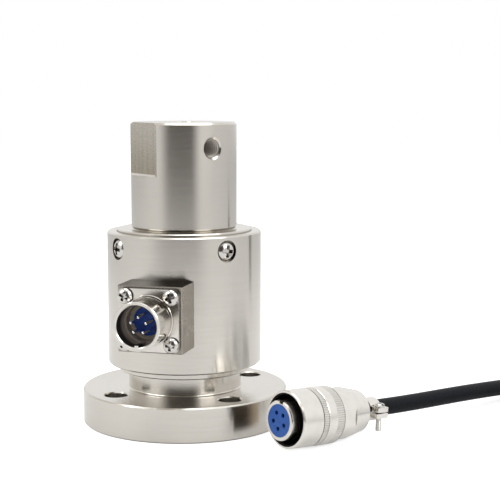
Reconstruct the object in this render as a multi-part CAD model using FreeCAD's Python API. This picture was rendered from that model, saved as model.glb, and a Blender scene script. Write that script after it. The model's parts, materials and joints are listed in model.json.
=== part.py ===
import FreeCAD, Part
import math
import os

from FreeCAD import Placement, Rotation, Vector

# Static torque sensor: one flanged steel body, a cover sleeve over its gauged waist, a five-way
# socket on the side, and the loose plug with its lead lying on the floor beside it.
# Millimetres. Z runs up the measuring axis, the origin is the centre of the flange's lower face,
# and the socket points along -Y. Turns are counted from the socket towards +X.

# How far cutters run past a surface, and tapped holes past a screw's end
CUT_PAST = 1.0
TAP_PAST = 1.0

# Flange and its bolt holes
FLANGE_DIA = 78.0
FLANGE_THICKNESS = 13.0
FLANGE_CHAMFER = 0.5
FLANGE_BOLT_CIRCLE = 61.0
FLANGE_HOLE_DIA = 8.6
FLANGE_HOLE_CHAMFER = 0.4
BOLT_COUNT = 4
BOLT_TURN = 50.0

# Neck, lower land, gauged waist, upper collar and shaft, stacked on the flange
NECK_DIA = 43.0
NECK_LENGTH = 7.2
NECK_FILLET = 0.6
LAND_DIA = 50.7
LAND_HEIGHT = 8.8
LAND_CHAMFER = 0.4
WAIST_DIA = 28.0
WAIST_LENGTH = 32.5
WAIST_FILLET = 3.0
COLLAR_HEIGHT = 12.5
SHAFT_DIA = 40.0
SHAFT_LENGTH = 40.0
SHAFT_CHAMFER = 0.8
SHAFT_UNDERCUT = 0.5
LAND_BOTTOM = FLANGE_THICKNESS + NECK_LENGTH
LAND_TOP = LAND_BOTTOM + LAND_HEIGHT
COLLAR_BOTTOM = LAND_TOP + WAIST_LENGTH
COLLAR_TOP = COLLAR_BOTTOM + COLLAR_HEIGHT
SHAFT_TOP = COLLAR_TOP + SHAFT_LENGTH

# Wrench flats, lock screw hole and turning centre of the shaft
FLAT_ACROSS = 35.5
FLAT_LENGTH = 19.7
FLAT_TURN = BOLT_TURN - 90.0
LOCK_HOLE_DIA = 6.8
LOCK_HOLE_MOUTH_DIA = 8.5
LOCK_HOLE_FLOOR = 4.0
LOCK_HOLE_DROP = 9.3
CENTRE_HOLE_DIA = 4.0
CENTRE_HOLE_MOUTH_DIA = 8.5
CENTRE_HOLE_DEPTH = 2.0
CENTRE_CONE_TILT = 60.0
DRILL_POINT_TILT = 31.0
FLAT_CORNER = 0.8

# Cover sleeve, its seal and its screws
SLEEVE_WALL = 3.75
SLEEVE_FIT = 0.1
SLEEVE_LIFT = 2.55
COLLAR_PROUD = 0.9
SLEEVE_CHAMFER = 0.5
SLEEVE_BORE_CHAMFER = 0.35
SLEEVE_WINDOW_DIA = 13.0
SLEEVE_DIA = LAND_DIA + 2 * (SLEEVE_FIT + SLEEVE_WALL)
SLEEVE_BOTTOM = LAND_BOTTOM + SLEEVE_LIFT
SLEEVE_TOP = COLLAR_TOP - COLLAR_PROUD
PAN_SIDE_SHARE = 0.45
PAN_SHOULDER_OUT = 0.72
PAN_SHOULDER_UP = 0.84
CROSS_ARM_SHARE = 0.62
CROSS_SLOT_SHARE = 0.18
CROSS_DEPTH_SHARE = 0.6
COVER_SCREW_DROP = 5.4
COVER_SCREW_CORE = 3.3
COVER_SCREW_CLEARANCE = 4.4
COVER_SCREW_HEAD = 7.15
COVER_SCREW_HEAD_HEIGHT = 2.4
COVER_SCREW_RECESS = COVER_SCREW_HEAD + 0.95
COVER_SCREW_SEAT_DEPTH = 2.0
COVER_SCREW_REACH = 9.0
THREAD_GAP = 0.05
SEAL_SECTION = 1.8
SEAL_LIFT = 2.85
SEAL_SQUEEZE_ROOM = 0.2
SEAL_FIT = 0.02
SEAL_HEIGHT = SLEEVE_BOTTOM + SEAL_LIFT

# Gauges and wiring inside the sleeve
GAUGE_COUNT = 4
GAUGE_WIDTH_TURN = 28.0
GAUGE_HEIGHT = 9.0
GAUGE_THICKNESS = 0.2
GAUGE_TURN = 45.0
BOARD_GAP = 0.5
BOARD_INSET = 0.85
BOARD_THICKNESS = 1.2
WIRE_DIA = 0.9
BOARD_INNER_DIA = WAIST_DIA + 2 * (WAIST_FILLET + BOARD_GAP)
BOARD_OUTER_DIA = LAND_DIA - 2 * BOARD_INSET
WIRE_DROP_RADIUS = (BOARD_INNER_DIA + BOARD_OUTER_DIA) / 4

# Block and square flange socket on the sleeve
SOCKET_RISE = 22.55
SOCKET_HEIGHT = SLEEVE_BOTTOM + SOCKET_RISE
BLOCK_SIDE = 24.0
BLOCK_PROUD = 11.5
BLOCK_CHAMFER = 0.3
BLOCK_POCKET_DEPTH = 7.5
BLOCK_ROOT = 4.0
BLOCK_FRONT = SLEEVE_DIA / 2 + BLOCK_PROUD
GASKET_THICKNESS = 0.4
PLATE_SIDE = 22.5
PLATE_THICKNESS = 1.2
PLATE_CORNER = 2.0
SOCKET_SCREW_SPACING = 17.0
SOCKET_SCREW_CORE = 2.5
SOCKET_SCREW_CLEARANCE = 3.4
SOCKET_SCREW_HEAD = 5.6
SOCKET_SCREW_HEAD_HEIGHT = 2.1
SOCKET_SCREW_REACH = 6.0
SOCKET_SCREW_TURN_STEP = 20.0
BARREL_DIA = 17.4
BARREL_LENGTH = 13.0
BARREL_BASE_DIA = BARREL_DIA + 1.0
BARREL_BASE_HEIGHT = 0.6
BARREL_BORE_DIA = 14.6
BARREL_STEP_DEPTH = 8.5
BARREL_REAR_DIA = 16.0
BARREL_REAR_LENGTH = 6.0
BARREL_CHAMFER = 0.35
BLOCK_POCKET_DIA = BARREL_REAR_DIA + 1.6
BARREL_SLOT_WIDTH = 2.2
BARREL_SLOT_DEPTH = 0.5
BARREL_SLOT_LENGTH = 6.0
BARREL_SLOT_COUNT = 4
BARREL_SLOT_TURN = 45.0
KEY_WIDTH = 1.4
KEY_HEIGHT = 0.7
KEY_ROOT = 0.4
INSERT_BORE_DIA = BARREL_BORE_DIA - 1.2
SOCKET_INSERT_LENGTH = 8.0
INSERT_FIT = 0.05
PIN_COUNT = 5
PIN_CIRCLE_DIA = 5.9
PIN_DIA = 1.2
PIN_TIP_DEPTH = 2.0
PIN_CUP_DIA = 2.0
PIN_CUP_LENGTH = 4.0
PIN_CUP_BORE = 1.1
PIN_CUP_BORE_DEPTH = 2.4
PIN_FIT = 0.05

# Loose plug: distances run back from the front rim of its coupling sleeve
PLUG_RIM = Vector(48.4, -36.9, 0.0)
PLUG_HEADING = 54.0
PLUG_DIP = 3.6
MATING_FIT = 0.2
CAGE_FIT = 0.25
CAGE_WALL = 0.5
PLUG_SHELL_DIA = BARREL_BORE_DIA - 2 * MATING_FIT
PLUG_SHELL_WALL = 1.25
PLUG_SHELL_CHAMFER = 0.25
PLUG_SHELL_REACH = 3.0
PLUG_INSERT_BORE = PLUG_SHELL_DIA - 2 * PLUG_SHELL_WALL
PLUG_INSERT_LENGTH = 13.0
PLUG_CONTACT_BORE = PIN_DIA + 0.1
PLUG_CONTACT_DIA = PLUG_CONTACT_BORE + 0.2
PLUG_CONTACT_RECESS = 0.8
PLUG_CONTACT_LENGTH = 14.5
PLUG_CONTACT_SOLID = 4.0
PLUG_KEY_TURN = 173.0
PLUG_KEYWAY_WIDTH = KEY_WIDTH + 0.4
PLUG_KEYWAY_LENGTH = 9.0
PLUG_KEYWAY_DEPTH = 1.0
PLUG_CAGE_BORE = BARREL_DIA + 2 * CAGE_FIT
PLUG_CAGE_DIA = PLUG_CAGE_BORE + 2 * CAGE_WALL
PLUG_CAGE_FRONT = 0.4
PLUG_CAGE_DEPTH = 9.5
PLUG_CAGE_END = 11.0
PLUG_WEB_PAST = 1.0
PLUG_NECK_STEP = 0.95
PLUG_NECK_DIA = PLUG_CAGE_DIA - 2 * PLUG_NECK_STEP
PLUG_NECK_WALL = 1.5

# Coupling sleeve of the plug, which slides back against its spring
COUPLING_FIT = 0.05
COUPLING_WALL = 0.9
COUPLING_DIA = PLUG_CAGE_DIA + 2 * (COUPLING_FIT + COUPLING_WALL)
COUPLING_RIM_BEVEL = 0.3
COUPLING_RIM_LENGTH = 0.4
COUPLING_RIM_DRAFT = 0.1
COUPLING_CHAMFER = 0.3
COUPLING_LENGTH = 19.5
COUPLING_RING_HEIGHT = 0.1
COUPLING_RING_DIA = COUPLING_DIA + 2 * COUPLING_RING_HEIGHT
COUPLING_RING_START = 12.0
COUPLING_RING_END = 15.4
COUPLING_GROOVE_AT = 9.2
COUPLING_GROOVE_WIDTH = 0.5
COUPLING_GROOVE_DEPTH = 0.35
COUPLING_STOP_THICKNESS = 1.15
COUPLING_STOP_START = PLUG_CAGE_END + COUPLING_FIT
COUPLING_STOP_END = COUPLING_STOP_START + COUPLING_STOP_THICKNESS
COUPLING_TRAVEL = 2.5
KNURL_TEETH = 80
KNURL_DEPTH = 0.22
KNURL_DROP = 0.01
SPRING_WIRE = 0.6
SPRING_TURNS = 3.5
SPRING_ROOM = 0.2
SPRING_SLACK = 0.7
SPRING_END_GAP = 0.05
SPRING_DIA = PLUG_NECK_DIA + 2 * SPRING_ROOM + SPRING_WIRE

# Backshell and cable clamp of the plug, behind the spring
BACK_START = COUPLING_STOP_END + COUPLING_TRAVEL + SPRING_TURNS * SPRING_WIRE + SPRING_SLACK
BACK_DIA = PLUG_CAGE_DIA - 2 * COUPLING_FIT
BACK_THREAD_LENGTH = 4.5
BACK_THREAD_FIT = 0.05
BACK_CYLINDER_LENGTH = 8.5
BACK_TAPER_LENGTH = 8.0
BACK_TAPER_DROP = 1.7
BACK_CONE_LENGTH = 2.6
BACK_NECK_LENGTH = 0.8
BACK_BORE_STEP = 0.5
BACK_BORE_TAPER = 2.0
BACK_WALL = 1.3
BACK_FLAT_DEPTH = 0.5
CLAMP_LENGTH = 5.6
CLAMP_WALL = 1.1
CLAMP_EAR_THICKNESS = 1.7
CLAMP_SPLIT = 0.5
CLAMP_SCREW_DIA = 2.0
CLAMP_SCREW_HEAD = 3.6
CLAMP_SCREW_HEAD_HEIGHT = 1.3
CLAMP_SCREW_FIT = 0.1
CLAMP_SCREW_REACH = 8.8
CLAMP_SCREW_CHAMFER = 0.3
CLAMP_SLOT_WIDTH = 0.6
CLAMP_SLOT_DEPTH = 0.7
GROMMET_LENGTH = 4.0
GROMMET_FIT = 0.1
PLUG_NECK_END = BACK_START + BACK_THREAD_LENGTH
BACK_CYLINDER_END = BACK_START + BACK_CYLINDER_LENGTH
BACK_SHOULDER_AT = BACK_CYLINDER_END + BACK_TAPER_LENGTH
BACK_SHOULDER_DIA = BACK_DIA - 2 * BACK_TAPER_DROP
BACK_CONE_END = BACK_SHOULDER_AT + BACK_CONE_LENGTH
BACK_NECK_END = BACK_CONE_END + BACK_NECK_LENGTH

# Lead: round black cable, its coil and its flying end
CABLE_DIA = 6.3
CABLE_FIT = 0.05
CABLE_STRIP = 8.2
CABLE_FIRST_BEND = 55.0
CABLE_ROUTE = [
    (99.7, 34.4, 5.8),
    (112.5, 53.4, 4.3),
    (124.1, 69.7, 3.4),
    (141.2, 80.0, 3.2),
    (158.9, 83.1, 3.2),
]
COIL_CENTRE = Vector(172.0, 37.8, 0.0)
COIL_MEAN_DIA = 75.0
COIL_TURNS_WIDE = 4
COIL_TURNS_HIGH = 2
TAIL_ROUTE = [
    (212.2, 13.4, 9.4),
    (202.9, -2.6, 7.4),
    (190.6, -17.0, 3.2),
    (176.4, -28.2, 3.2),
]
CORE_DIA = 1.4
CORE_LENGTH = 24.0
CORE_SPREAD = 3.0
CORE_TIP_LENGTH = 6.0
CORE_TIP_DIA = 0.8
CORE_WALL = 1.45
CORE_RING_DIA = CABLE_DIA - 2 * CORE_WALL
CORE_STRAIGHT_SHARE = 0.25
CORE_SETTLE_SHARE = 0.7


def turned(angle):
    """Unit vector at a turn from the socket's direction, counted towards +X."""
    a = math.radians(angle)
    return Vector(math.sin(a), -math.cos(a), 0)


def revolve(points):
    """Solid turned about Z from (radius, height) points."""
    corners = [Vector(r, 0, z) for r, z in points]
    face = Part.Face(Part.makePolygon(corners + [corners[0]]))
    return face.revolve(Vector(0, 0, 0), Vector(0, 0, 1), 360)


def ring(outer_dia, inner_dia, low, high):
    """Plain ring about Z."""
    outer = Part.makeCylinder(outer_dia / 2, high - low, Vector(0, 0, low))
    return outer.cut(Part.makeCylinder(inner_dia / 2, high - low, Vector(0, 0, low)))


def fillet_points(centre_r, centre_z, radius, start, end, steps=4):
    """Points of a small fillet arc in the (radius, height) plane."""
    points = []
    for i in range(steps + 1):
        a = math.radians(start + (end - start) * i / steps)
        points.append((centre_r + radius * math.cos(a), centre_z + radius * math.sin(a)))
    return points


def square_prism(side, low, high, corner):
    """Square plate about Z with rounded corners."""
    plate = Part.makeBox(side, side, high - low, Vector(-side / 2, -side / 2, low))
    edges = [e for e in plate.Edges if abs(e.Vertexes[0].Z - e.Vertexes[1].Z) > 1e-6]
    return plate.makeFillet(corner, edges)


def pan_screw(head_dia, head_height, shank_dia, reach):
    """Cross-recessed pan head screw along Z: the head's seat is at 0 and the shank goes down."""
    head_r = head_dia / 2
    side = head_height * PAN_SIDE_SHARE
    arc = Part.Arc(
        Vector(head_r, 0, side),
        Vector(head_r * PAN_SHOULDER_OUT, 0, head_height * PAN_SHOULDER_UP),
        Vector(0, 0, head_height),
    ).toShape()
    lines = Part.makePolygon([Vector(0, 0, head_height), Vector(0, 0, 0), Vector(head_r, 0, 0),
                              Vector(head_r, 0, side)])
    head = Part.Face(Part.Wire([arc] + lines.Edges))
    head = head.revolve(Vector(0, 0, 0), Vector(0, 0, 1), 360)
    shank = Part.makeCylinder(shank_dia / 2, reach, Vector(0, 0, -reach))
    arm = head_dia * CROSS_ARM_SHARE
    slot = head_dia * CROSS_SLOT_SHARE
    depth = head_height * CROSS_DEPTH_SHARE
    screw = head.fuse(shank)
    for turn in (45, 135):
        blade = Part.makeBox(arm, slot, 2 * depth, Vector(-arm / 2, -slot / 2, head_height - depth))
        blade.rotate(Vector(0, 0, 0), Vector(0, 0, 1), turn)
        screw = screw.cut(blade)
    return screw.removeSplitter()


def radial_place(angle, distance, height):
    """Placement that points local Z outwards at a turn, at a distance from the axis."""
    out = turned(angle)
    return Placement(out * distance + Vector(0, 0, height), Rotation(Vector(0, 0, 1), out))


def placed(shape, placement):
    copy = shape.copy()
    copy.Placement = placement.multiply(copy.Placement)
    return copy


def socket_place():
    """Local X right, Y up and Z out of the socket's mouth, measured from the sensor's axis."""
    return Placement(Vector(0, 0, SOCKET_HEIGHT), Rotation(Vector(1, 0, 0), 90))


def plug_place():
    """Local X right, Y up and Z out of the plug's front; the plug rests on its ring."""
    dip = math.radians(PLUG_DIP)
    ring_middle = (COUPLING_RING_START + COUPLING_RING_END) / 2
    rise = COUPLING_RING_DIA / 2 * math.cos(dip) + ring_middle * math.sin(dip)
    upright = Rotation(Vector(1, 0, 0), 90)
    tilt = Rotation(Vector(1, 0, 0), -PLUG_DIP)
    turn = Rotation(Vector(0, 0, 1), PLUG_HEADING - 90)
    return Placement(PLUG_RIM + Vector(0, 0, rise), turn.multiply(tilt).multiply(upright))


def circle_points(count, diameter, start=90.0):
    """Points of a regular pattern in the local XY plane."""
    step = 360.0 / count
    return [
        Vector(diameter / 2 * math.cos(math.radians(start + i * step)),
               diameter / 2 * math.sin(math.radians(start + i * step)), 0)
        for i in range(count)
    ]


def rounded_path(points, label):
    """Straight runs joined by tangent arcs, each as large as its two runs allow."""
    points = [Vector(*p) for p in points]
    edges = []
    start = points[0]
    radii = []
    for before, corner, after in zip(points, points[1:], points[2:]):
        back = (before - corner).normalize()
        ahead = (after - corner).normalize()
        turn = math.pi - back.getAngle(ahead)
        reach = 0.45 * min((before - corner).Length, (after - corner).Length)
        radius = reach / math.tan(turn / 2)
        radii.append(radius)
        first = corner + back * reach
        last = corner + ahead * reach
        inward = (back + ahead).normalize()
        middle = corner + inward * (radius / math.cos(turn / 2) - radius)
        edges.append(Part.LineSegment(start, first).toShape())
        edges.append(Part.Arc(first, middle, last).toShape())
        start = last
    edges.append(Part.LineSegment(start, points[-1]).toShape())
    if label:
        print(label, "radii", [round(r, 1) for r in radii])
    return Part.Wire(edges)


def tube(points, diameter, label=""):
    """Round solid along a route of straight runs and tangent arcs."""
    path = rounded_path(points, label)
    first = Vector(*points[0])
    direction = Vector(*points[1]) - first
    section = Part.Wire(Part.makeCircle(diameter / 2, first, direction))
    solid = path.makePipeShell([section], True, False)
    if label:
        share = solid.Volume / (math.pi * diameter ** 2 / 4 * path.Length)
        print(label, "length", round(path.Length, 1), "volume share", round(share, 4))
    return solid


def elastic_body():
    """Flange, neck, lands, gauged waist and shaft, turned and milled from one bar."""
    flange_r = FLANGE_DIA / 2
    neck_r = NECK_DIA / 2
    land_r = LAND_DIA / 2
    waist_r = WAIST_DIA / 2
    shaft_r = SHAFT_DIA / 2
    seal_floor = land_r + SLEEVE_FIT - SEAL_SECTION - 2 * SEAL_FIT
    groove_low = SEAL_HEIGHT - SEAL_SECTION / 2 - SEAL_SQUEEZE_ROOM
    groove_high = SEAL_HEIGHT + SEAL_SECTION / 2 + SEAL_SQUEEZE_ROOM
    profile = [(0, 0), (flange_r - FLANGE_CHAMFER, 0), (flange_r, FLANGE_CHAMFER)]
    profile += [(flange_r, FLANGE_THICKNESS - FLANGE_CHAMFER),
                (flange_r - FLANGE_CHAMFER, FLANGE_THICKNESS)]
    profile += fillet_points(neck_r + NECK_FILLET, FLANGE_THICKNESS + NECK_FILLET, NECK_FILLET,
                             270, 180)
    profile += [(neck_r, LAND_BOTTOM), (land_r - LAND_CHAMFER, LAND_BOTTOM)]
    profile += [(land_r, LAND_BOTTOM + LAND_CHAMFER)]
    profile += [(land_r, groove_low), (seal_floor, groove_low)]
    profile += [(seal_floor, groove_high), (land_r, groove_high)]
    profile += [(land_r, LAND_TOP)]
    profile += fillet_points(waist_r + WAIST_FILLET, LAND_TOP + WAIST_FILLET, WAIST_FILLET,
                             270, 180)
    profile += fillet_points(waist_r + WAIST_FILLET, COLLAR_BOTTOM - WAIST_FILLET, WAIST_FILLET,
                             180, 90)
    profile += [(land_r, COLLAR_BOTTOM), (land_r, COLLAR_TOP - LAND_CHAMFER)]
    profile += [(land_r - LAND_CHAMFER, COLLAR_TOP), (shaft_r + SHAFT_UNDERCUT, COLLAR_TOP)]
    profile += [(shaft_r - SHAFT_UNDERCUT, COLLAR_TOP + SHAFT_UNDERCUT),
                (shaft_r, COLLAR_TOP + 2 * SHAFT_UNDERCUT)]
    profile += [(shaft_r, SHAFT_TOP - SHAFT_CHAMFER), (shaft_r - SHAFT_CHAMFER, SHAFT_TOP)]
    profile += [(0, SHAFT_TOP)]
    body = revolve(profile)
    for i in range(BOLT_COUNT):
        body = body.cut(flange_hole(BOLT_TURN + i * 360.0 / BOLT_COUNT))
        body = body.cut(cover_screw_hole(BOLT_TURN + i * 360.0 / BOLT_COUNT))
    for side in (0, 180):
        body = body.cut(shaft_flat(FLAT_TURN + side))
    body = body.cut(lock_hole()).cut(centre_hole())
    return body.removeSplitter()


def flange_hole(angle):
    """Through hole of the flange, chamfered at both faces."""
    r = FLANGE_HOLE_DIA / 2
    c = FLANGE_HOLE_CHAMFER
    hole = revolve([(0, -c), (r + 2 * c, -c), (r, c), (r, FLANGE_THICKNESS - c),
                    (r + 2 * c, FLANGE_THICKNESS + c), (0, FLANGE_THICKNESS + c)])
    return placed(hole, Placement(turned(angle) * (FLANGE_BOLT_CIRCLE / 2), Rotation()))


def cover_screw_height():
    return SLEEVE_TOP - COVER_SCREW_DROP


def cover_screw_seat():
    """Distance of the cover screws' seats from the axis."""
    return SLEEVE_DIA / 2 - COVER_SCREW_SEAT_DEPTH


def cover_screw_hole(angle):
    """Tapped hole of the collar, modelled at its core diameter."""
    floor = cover_screw_seat() - COVER_SCREW_REACH - TAP_PAST
    hole = Part.makeCylinder(COVER_SCREW_CORE / 2, LAND_DIA / 2 + CUT_PAST - floor)
    return placed(hole, radial_place(angle, floor, cover_screw_height()))


def shaft_flat(angle):
    """Block that mills one wrench flat off the shaft's upper end, with a sloped lower corner."""
    near = FLAT_ACROSS / 2
    low = SHAFT_TOP - FLAT_LENGTH
    high = SHAFT_TOP + CUT_PAST
    corners = [(near, high), (near, low + FLAT_CORNER), (near + FLAT_CORNER, low),
               (SHAFT_DIA, low), (SHAFT_DIA, high), (near, high)]
    face = Part.Face(Part.makePolygon([Vector(x, -SHAFT_DIA, z) for x, z in corners]))
    block = face.extrude(Vector(0, 2 * SHAFT_DIA, 0))
    block.rotate(Vector(0, 0, 0), Vector(0, 0, 1), angle - 90)
    return block


def lock_hole():
    """Tapped cross hole on the round side of the shaft, which stops short of the axis."""
    r = LOCK_HOLE_DIA / 2
    mouth = LOCK_HOLE_MOUTH_DIA / 2
    surface = SHAFT_DIA / 2
    floor = LOCK_HOLE_FLOOR
    tip = r * math.tan(math.radians(DRILL_POINT_TILT))
    step = mouth - r
    hole = revolve([(0, floor - tip), (r, floor), (r, surface - step), (mouth, surface),
                    (mouth, surface + CUT_PAST), (0, surface + CUT_PAST)])
    return placed(hole, radial_place(BOLT_TURN, 0, SHAFT_TOP - LOCK_HOLE_DROP))


def centre_hole():
    """Turning centre in the shaft's end."""
    r = CENTRE_HOLE_DIA / 2
    mouth = CENTRE_HOLE_MOUTH_DIA / 2
    cone = (mouth - r) * math.tan(math.radians(CENTRE_CONE_TILT))
    floor = SHAFT_TOP - cone - CENTRE_HOLE_DEPTH
    return revolve([(0, floor), (r, floor), (r, SHAFT_TOP - cone), (mouth, SHAFT_TOP),
                    (mouth, SHAFT_TOP + CUT_PAST), (0, SHAFT_TOP + CUT_PAST)])


def cover_sleeve():
    """Turned sleeve over the waist, with screw seats and the wiring window."""
    outer = SLEEVE_DIA / 2
    inner = LAND_DIA / 2 + SLEEVE_FIT
    c = SLEEVE_CHAMFER
    b = SLEEVE_BORE_CHAMFER
    sleeve = revolve([(inner + b, SLEEVE_BOTTOM), (outer - c, SLEEVE_BOTTOM),
                      (outer, SLEEVE_BOTTOM + c), (outer, SLEEVE_TOP - c),
                      (outer - c, SLEEVE_TOP), (inner + b, SLEEVE_TOP),
                      (inner, SLEEVE_TOP - b), (inner, SLEEVE_BOTTOM + b)])
    for i in range(BOLT_COUNT):
        angle = BOLT_TURN + i * 360.0 / BOLT_COUNT
        seat = radial_place(angle, cover_screw_seat(), cover_screw_height())
        recess = Part.makeCylinder(COVER_SCREW_RECESS / 2, COVER_SCREW_SEAT_DEPTH + CUT_PAST)
        sleeve = sleeve.cut(placed(recess, seat))
        through = Part.makeCylinder(COVER_SCREW_CLEARANCE / 2, 2 * SLEEVE_WALL,
                                    Vector(0, 0, -SLEEVE_WALL))
        sleeve = sleeve.cut(placed(through, seat))
    window = Part.makeCylinder(SLEEVE_WINDOW_DIA / 2, outer, Vector(0, 0, 0))
    return sleeve.cut(placed(window, socket_place()))


def cover_screws():
    screw = pan_screw(COVER_SCREW_HEAD, COVER_SCREW_HEAD_HEIGHT, COVER_SCREW_CORE - 2 * THREAD_GAP,
                      COVER_SCREW_REACH)
    return [
        placed(screw, radial_place(BOLT_TURN + i * 360.0 / BOLT_COUNT, cover_screw_seat(),
                                   cover_screw_height()))
        for i in range(BOLT_COUNT)
    ]


def lower_seal_ring():
    """Rubber ring in the lower land's groove, against the sleeve's bore."""
    middle = LAND_DIA / 2 + SLEEVE_FIT - SEAL_SECTION / 2 - SEAL_FIT
    return Part.makeTorus(middle, SEAL_SECTION / 2, Vector(0, 0, SEAL_HEIGHT), Vector(0, 0, 1))


def strain_gauges():
    """Foil patches bonded round the waist at mid height."""
    middle = (LAND_TOP + COLLAR_BOTTOM) / 2
    low = middle - GAUGE_HEIGHT / 2
    inner = WAIST_DIA / 2
    outer = inner + GAUGE_THICKNESS
    face = Part.Face(Part.makePolygon([
        Vector(inner, 0, low), Vector(outer, 0, low), Vector(outer, 0, low + GAUGE_HEIGHT),
        Vector(inner, 0, low + GAUGE_HEIGHT), Vector(inner, 0, low)]))
    patch = face.revolve(Vector(0, 0, 0), Vector(0, 0, 1), GAUGE_WIDTH_TURN)
    patches = []
    for i in range(GAUGE_COUNT):
        turn = i * 360.0 / GAUGE_COUNT - GAUGE_WIDTH_TURN / 2 + GAUGE_TURN
        patches.append(placed(patch, Placement(Vector(0, 0, 0), Rotation(Vector(0, 0, 1), turn))))
    return patches


def terminal_ring():
    """Ring-shaped wiring board lying on the lower land."""
    return ring(BOARD_OUTER_DIA, BOARD_INNER_DIA, LAND_TOP, LAND_TOP + BOARD_THICKNESS)


def signal_wires():
    """One wire from each solder cup of the socket down to the wiring board."""
    end = socket_insert_back() - PIN_CUP_LENGTH
    wires = []
    for p in circle_points(PIN_COUNT, PIN_CIRCLE_DIA):
        height = SOCKET_HEIGHT + p.y
        wires.append(tube([(p.x, -end, height), (p.x, -WIRE_DROP_RADIUS, height),
                           (p.x, -WIRE_DROP_RADIUS, LAND_TOP + BOARD_THICKNESS)], WIRE_DIA))
    return wires


def plate_back():
    return BLOCK_FRONT + GASKET_THICKNESS


def plate_front():
    return plate_back() + PLATE_THICKNESS


def barrel_front():
    return plate_front() + BARREL_LENGTH


def socket_insert_front():
    """The insulator's face is level with the plate's front."""
    return plate_front()


def socket_insert_back():
    return socket_insert_front() - SOCKET_INSERT_LENGTH


def screw_corners():
    half = SOCKET_SCREW_SPACING / 2
    return [Vector(x, y, 0) for x in (-half, half) for y in (-half, half)]


def connector_block():
    """Milled block soldered to the sleeve, with the socket's pocket and tapped holes."""
    back = SLEEVE_DIA / 2 - BLOCK_ROOT
    block = Part.makeBox(BLOCK_SIDE, BLOCK_SIDE, BLOCK_FRONT - back,
                         Vector(-BLOCK_SIDE / 2, -BLOCK_SIDE / 2, back))
    front = [e for e in block.Edges
             if all(abs(v.Z - BLOCK_FRONT) < 1e-6 for v in e.Vertexes)]
    block = block.makeChamfer(BLOCK_CHAMFER, front)
    pocket_floor = BLOCK_FRONT - BLOCK_POCKET_DEPTH
    block = block.cut(Part.makeCylinder(BLOCK_POCKET_DIA / 2, BLOCK_POCKET_DEPTH + CUT_PAST,
                                        Vector(0, 0, pocket_floor)))
    block = block.cut(Part.makeCylinder(SLEEVE_WINDOW_DIA / 2, BLOCK_FRONT, Vector(0, 0, 0)))
    for p in screw_corners():
        depth = SOCKET_SCREW_REACH + TAP_PAST
        hole = Part.makeCylinder(SOCKET_SCREW_CORE / 2, depth + CUT_PAST,
                                 p + Vector(0, 0, BLOCK_FRONT - depth))
        block = block.cut(hole)
    block = placed(block, socket_place())
    saddle = Part.makeCylinder(SLEEVE_DIA / 2, 2 * BLOCK_SIDE,
                               Vector(0, 0, SOCKET_HEIGHT - BLOCK_SIDE))
    return block.cut(saddle)


def socket_gasket():
    gasket = square_prism(PLATE_SIDE, BLOCK_FRONT, plate_back(), PLATE_CORNER)
    through = GASKET_THICKNESS + 2 * CUT_PAST
    below = Vector(0, 0, BLOCK_FRONT - CUT_PAST)
    gasket = gasket.cut(Part.makeCylinder(BLOCK_POCKET_DIA / 2, through, below))
    for p in screw_corners():
        gasket = gasket.cut(Part.makeCylinder(SOCKET_SCREW_CLEARANCE / 2, through, p + below))
    return placed(gasket, socket_place())


def socket_shell():
    """Square flange plate with the mating barrel, its key and its locking slots."""
    barrel_r = BARREL_DIA / 2
    bore_r = BARREL_BORE_DIA / 2
    insert_r = INSERT_BORE_DIA / 2
    rear_r = BARREL_REAR_DIA / 2
    base_r = BARREL_BASE_DIA / 2
    front = barrel_front()
    c = BARREL_CHAMFER
    tube_part = revolve([
        (insert_r, plate_back() - BARREL_REAR_LENGTH), (rear_r, plate_back() - BARREL_REAR_LENGTH),
        (rear_r, plate_back()), (base_r, plate_back()),
        (base_r, plate_front() + BARREL_BASE_HEIGHT - c / 2),
        (base_r - c / 2, plate_front() + BARREL_BASE_HEIGHT),
        (barrel_r, plate_front() + BARREL_BASE_HEIGHT),
        (barrel_r, front - c), (barrel_r - c, front), (bore_r + c, front), (bore_r, front - c),
        (bore_r, front - BARREL_STEP_DEPTH), (insert_r, front - BARREL_STEP_DEPTH - c),
    ])
    plate = square_prism(PLATE_SIDE, plate_back(), plate_front(), PLATE_CORNER)
    through = PLATE_THICKNESS + 2 * CUT_PAST
    below = Vector(0, 0, plate_back() - CUT_PAST)
    plate = plate.cut(Part.makeCylinder(insert_r + c, through, below))
    shell = plate.fuse(tube_part)
    for p in screw_corners():
        shell = shell.cut(Part.makeCylinder(SOCKET_SCREW_CLEARANCE / 2, through, p + below))
    slot_low = plate_front() + BARREL_BASE_HEIGHT
    for i in range(BARREL_SLOT_COUNT):
        slot = Part.makeBox(BARREL_SLOT_DEPTH + CUT_PAST, BARREL_SLOT_WIDTH, BARREL_SLOT_LENGTH,
                            Vector(barrel_r - BARREL_SLOT_DEPTH, -BARREL_SLOT_WIDTH / 2, slot_low))
        slot.rotate(Vector(0, 0, 0), Vector(0, 0, 1),
                    BARREL_SLOT_TURN + i * 360.0 / BARREL_SLOT_COUNT)
        shell = shell.cut(slot)
    key = Part.makeBox(KEY_WIDTH, KEY_HEIGHT + KEY_ROOT, BARREL_STEP_DEPTH - c,
                       Vector(-KEY_WIDTH / 2, -bore_r - KEY_ROOT, front - BARREL_STEP_DEPTH))
    return placed(shell.fuse(key).removeSplitter(), socket_place())


def socket_insulator():
    insert = Part.makeCylinder(INSERT_BORE_DIA / 2 - INSERT_FIT, SOCKET_INSERT_LENGTH,
                               Vector(0, 0, socket_insert_back()))
    for p in circle_points(PIN_COUNT, PIN_CIRCLE_DIA):
        hole = Part.makeCylinder(PIN_DIA / 2 + PIN_FIT, SOCKET_INSERT_LENGTH + 2 * CUT_PAST,
                                 p + Vector(0, 0, socket_insert_back() - CUT_PAST))
        insert = insert.cut(hole)
    return placed(insert, socket_place())


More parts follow.
